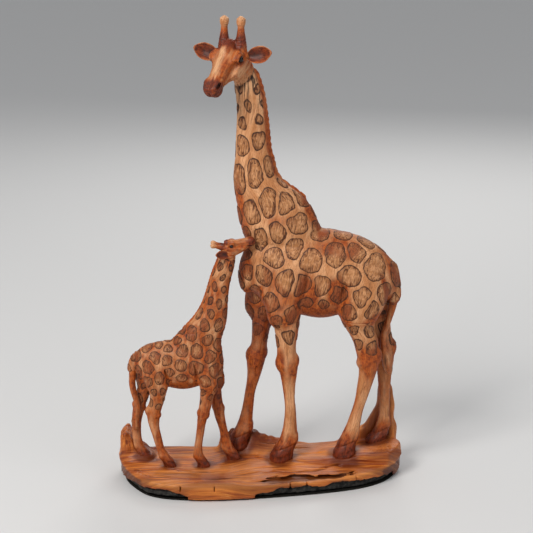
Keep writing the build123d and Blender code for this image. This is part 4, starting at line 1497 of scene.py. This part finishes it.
def driftwood_material():
    """Streaky reddish driftwood, lengthwise on the slab and upright on its stumps, with painted shade
    where it sinks below the slab's top.
    """
    m = Shader("driftwood")
    dark, pale, tall, sunk_shade = (m.value(name) for name in ("dark", "pale", "tall", "sunk_shade"))
    flat = m.math("SUBTRACT", 1.0, tall)
    long_streak = m.flow_noise(1.9, 46.0, detail=5, rough=0.62)
    long_fine = m.flow_noise(0.5, 17.0, detail=4, rough=0.65, shift=3.0)
    long_band = m.flow_noise(7.0, 60.0, detail=2, shift=9.0)
    up_streak = m.noise(1.6, 22.0, detail=5, rough=0.62)
    up_fine = m.noise(0.5, 9.0, detail=4, rough=0.65)
    streak, fine = (
        m.math("ADD", m.math("MULTIPLY", along, flat), m.math("MULTIPLY", up, tall))
        for along, up in ((long_streak, up_streak), (long_fine, up_fine))
    )
    wood = m.paint(
        "8f3e0e",
        (m.span(long_band, 0.36, 0.62), "b35f22"),
        (m.span(streak, 0.50, 0.64), "c9752d"),
        (m.span(streak, 0.46, 0.34, 0, 0.85), "6c280a"),
        (m.span(fine, 0.55, 0.72, 0, 0.6), "e2a056"),
        (m.span(fine, 0.44, 0.3, 0, 0.7), "4e1d08"),
        (m.math("MULTIPLY", pale, 0.45), "d9914a"),
        (m.span(dark, 0.1, 1.0, 0, 0.8), "571d07"),
        # painted shade in the splits, the hollows and under the front ledge
        (m.span(sunk_shade, 0.0, 1.0, 0, 0.75), "421809"),
    )
    height = m.math("ADD", m.math("MULTIPLY", streak, 0.6), m.math("MULTIPLY", fine, 0.4))
    m.bump(height, 0.5, 0.8)
    rough = m.span(fine, 0.3, 0.7, 0.34, 0.58)
    return m.finish(wood, rough, Specular_IOR_Level=0.3, Coat_Weight=0.08, Coat_Roughness=0.3)


def bark_material():
    """Black, granular bark with a worn orange-brown upper edge."""
    m = Shader("bark")
    dark, pale = m.value("dark"), m.value("pale")
    speck = m.noise(0.5, detail=5, rough=0.7)
    lump = m.noise(2.2, detail=3)
    wood = m.paint(
        "1d1c1a",
        (m.span(lump, 0.35, 0.7), "3a3834"),
        (m.span(speck, 0.56, 0.75, 0, 0.8), "6d675d"),
        (m.math("MULTIPLY", pale, m.span(lump, 0.3, 0.6, 0.3, 0.9)), "8a4a1f"),
        (dark, "0d0c0b"),
    )
    m.bump(m.math("ADD", speck, m.math("MULTIPLY", lump, 0.5)), 0.6, 0.9)
    return m.finish(wood, m.span(speck, 0.3, 0.7, 0.6, 0.92), Specular_IOR_Level=0.3)


def felt_material():
    """Dark felt with matted fibres."""
    m = Shader("felt")
    fibre = m.noise(0.25, 2.0, axis=0, detail=5, rough=0.7, bend=1.5)
    mat = m.noise(3.0, detail=3)
    matted = m.span(mat, 0.4, 0.65, 0, 0.4)
    cloth = m.paint("14130f", (m.span(fibre, 0.35, 0.7), "2c2a25"), (matted, "0c0b0a"))
    m.bump(fibre, 0.3, 0.8)
    return m.finish(cloth, m.span(fibre, 0.3, 0.7, 0.85, 0.98), Specular_IOR_Level=0.15)


def bead_material():
    """Glossy near-black beads, clouded with brown that shows only in bright light."""
    m = Shader("eye_bead")
    cloud = m.noise(0.8, detail=3)
    glass = m.paint("050302", (m.span(cloud, 0.35, 0.7), "1a0c05"))
    m.bump(cloud, 0.02, 0.2)
    rough = m.span(cloud, 0.3, 0.7, 0.16, 0.24)
    return m.finish(glass, rough, Specular_IOR_Level=0.35, Coat_Weight=0.1, Coat_Roughness=0.08)


def dowel_material():
    """Plain pale dowel wood with its grain along the rod."""
    m = Shader("dowel_wood")
    streak = m.noise(0.5, 12.0, detail=4)
    wood = m.paint("c8a67c", (m.span(streak, 0.35, 0.65), "a07c50"))
    m.bump(streak, 0.2, 0.5)
    return m.finish(wood, m.span(streak, 0.3, 0.7, 0.55, 0.7))


def dress_nodes(materials):
    """Gives the CAD nodes that stay shown their own materials."""
    kinds = {"eye": "bead", "dowel": "dowel", "peg": "dowel", "felt": "felt"}
    for name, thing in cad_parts.items():
        for word, kind in kinds.items():
            if word in name:
                thing.data.materials.clear()
                thing.data.materials.append(materials[kind])


# ---------------------------------------------------------------- the stage
def place_in_scene(name, data, place=(0, 0, 0)):
    """A new object of the scene."""
    thing = bpy.data.objects.new(name, data)
    thing.location = place
    bpy.context.scene.collection.objects.link(thing)
    return thing


def floor():
    """A plain, pale and matt floor."""
    half = 15.0
    mesh = bpy.data.meshes.new("floor")
    ends = ((-half, -half, 0), (half, -half, 0), (half, half, 0), (-half, half, 0))
    mesh.from_pydata(ends, [], [(0, 1, 2, 3)])
    material = Shader("pale_floor").finish(colour("d0cfce"), 0.75, Specular_IOR_Level=0.2)
    mesh.materials.append(material)
    place_in_scene("floor", mesh)


def lights():
    """Soft studio lights: three large panels, a pale sky and a very wide sun overhead."""
    world = bpy.data.worlds.new("studio")
    world.use_nodes = True
    sky = world.node_tree.nodes["Background"].inputs
    sky["Color"].default_value = (0.93, 0.96, 1.0, 1)
    sky["Strength"].default_value = 0.30
    bpy.context.scene.world = world
    bpy.context.scene.view_settings.view_transform = "Standard"
    panels = (                               # name, place, size, power, tint
        ("key", (-0.75, -0.95, 1.15), 0.6, 19.0, (1.0, 0.985, 0.96)),
        ("fill", (1.1, -0.8, 0.6), 0.9, 3.0, (0.97, 0.98, 1.0)),
        ("back", (0.3, 1.2, 1.0), 0.8, 7.0, (1.0, 0.99, 0.97)),
    )
    for name, place, size, power, tint in panels:
        data = bpy.data.lights.new(name, "AREA")
        data.size = size
        data.energy = power
        data.color = tint
        lamp = place_in_scene(name, data, place)
        way = Vector((0.0, 0.0, 0.15)) - lamp.location
        lamp.rotation_euler = way.to_track_quat("-Z", "Y").to_euler()
    data = bpy.data.lights.new("ceiling", "SUN")
    data.energy = 0.55
    data.angle = radians(110)
    place_in_scene("ceiling", data)


def camera():
    """A camera a little above the mother's head, looking down at the group."""
    data = bpy.data.cameras.new("camera")
    data.sensor_width = 36.0
    data.lens = 94.56
    thing = place_in_scene("camera", data, (0.004, -0.956, 0.414))
    thing.rotation_euler = (radians(90 - 14.7), 0, 0)
    bpy.context.scene.camera = thing


SLAB_TOP = box("calf_leg_front_right")[0][2] + 2.0
EDGE_X = np.arange(-100.0, 101.0, 2.0)
base_points = corners("base")
EDGE_Y = np.array([base_points[np.abs(base_points[:, 0] - x) < 4.0][:, 1].min() for x in EDGE_X])

materials = {
    "coat": coat_material(),
    "driftwood": driftwood_material(),
    "bark": bark_material(),
    "felt": felt_material(),
    "bead": bead_material(),
    "dowel": dowel_material(),
}
for name, facing, size in (("mother", -1, 1.0), ("calf", 1, 0.55)):
    animal = Animal(name, facing, size)
    body_pieces(animal, materials)
    head_pieces(animal, materials)
    tail_piece(animal, materials)
base_pieces(materials)
dress_nodes(materials)
floor()
lights()
camera()
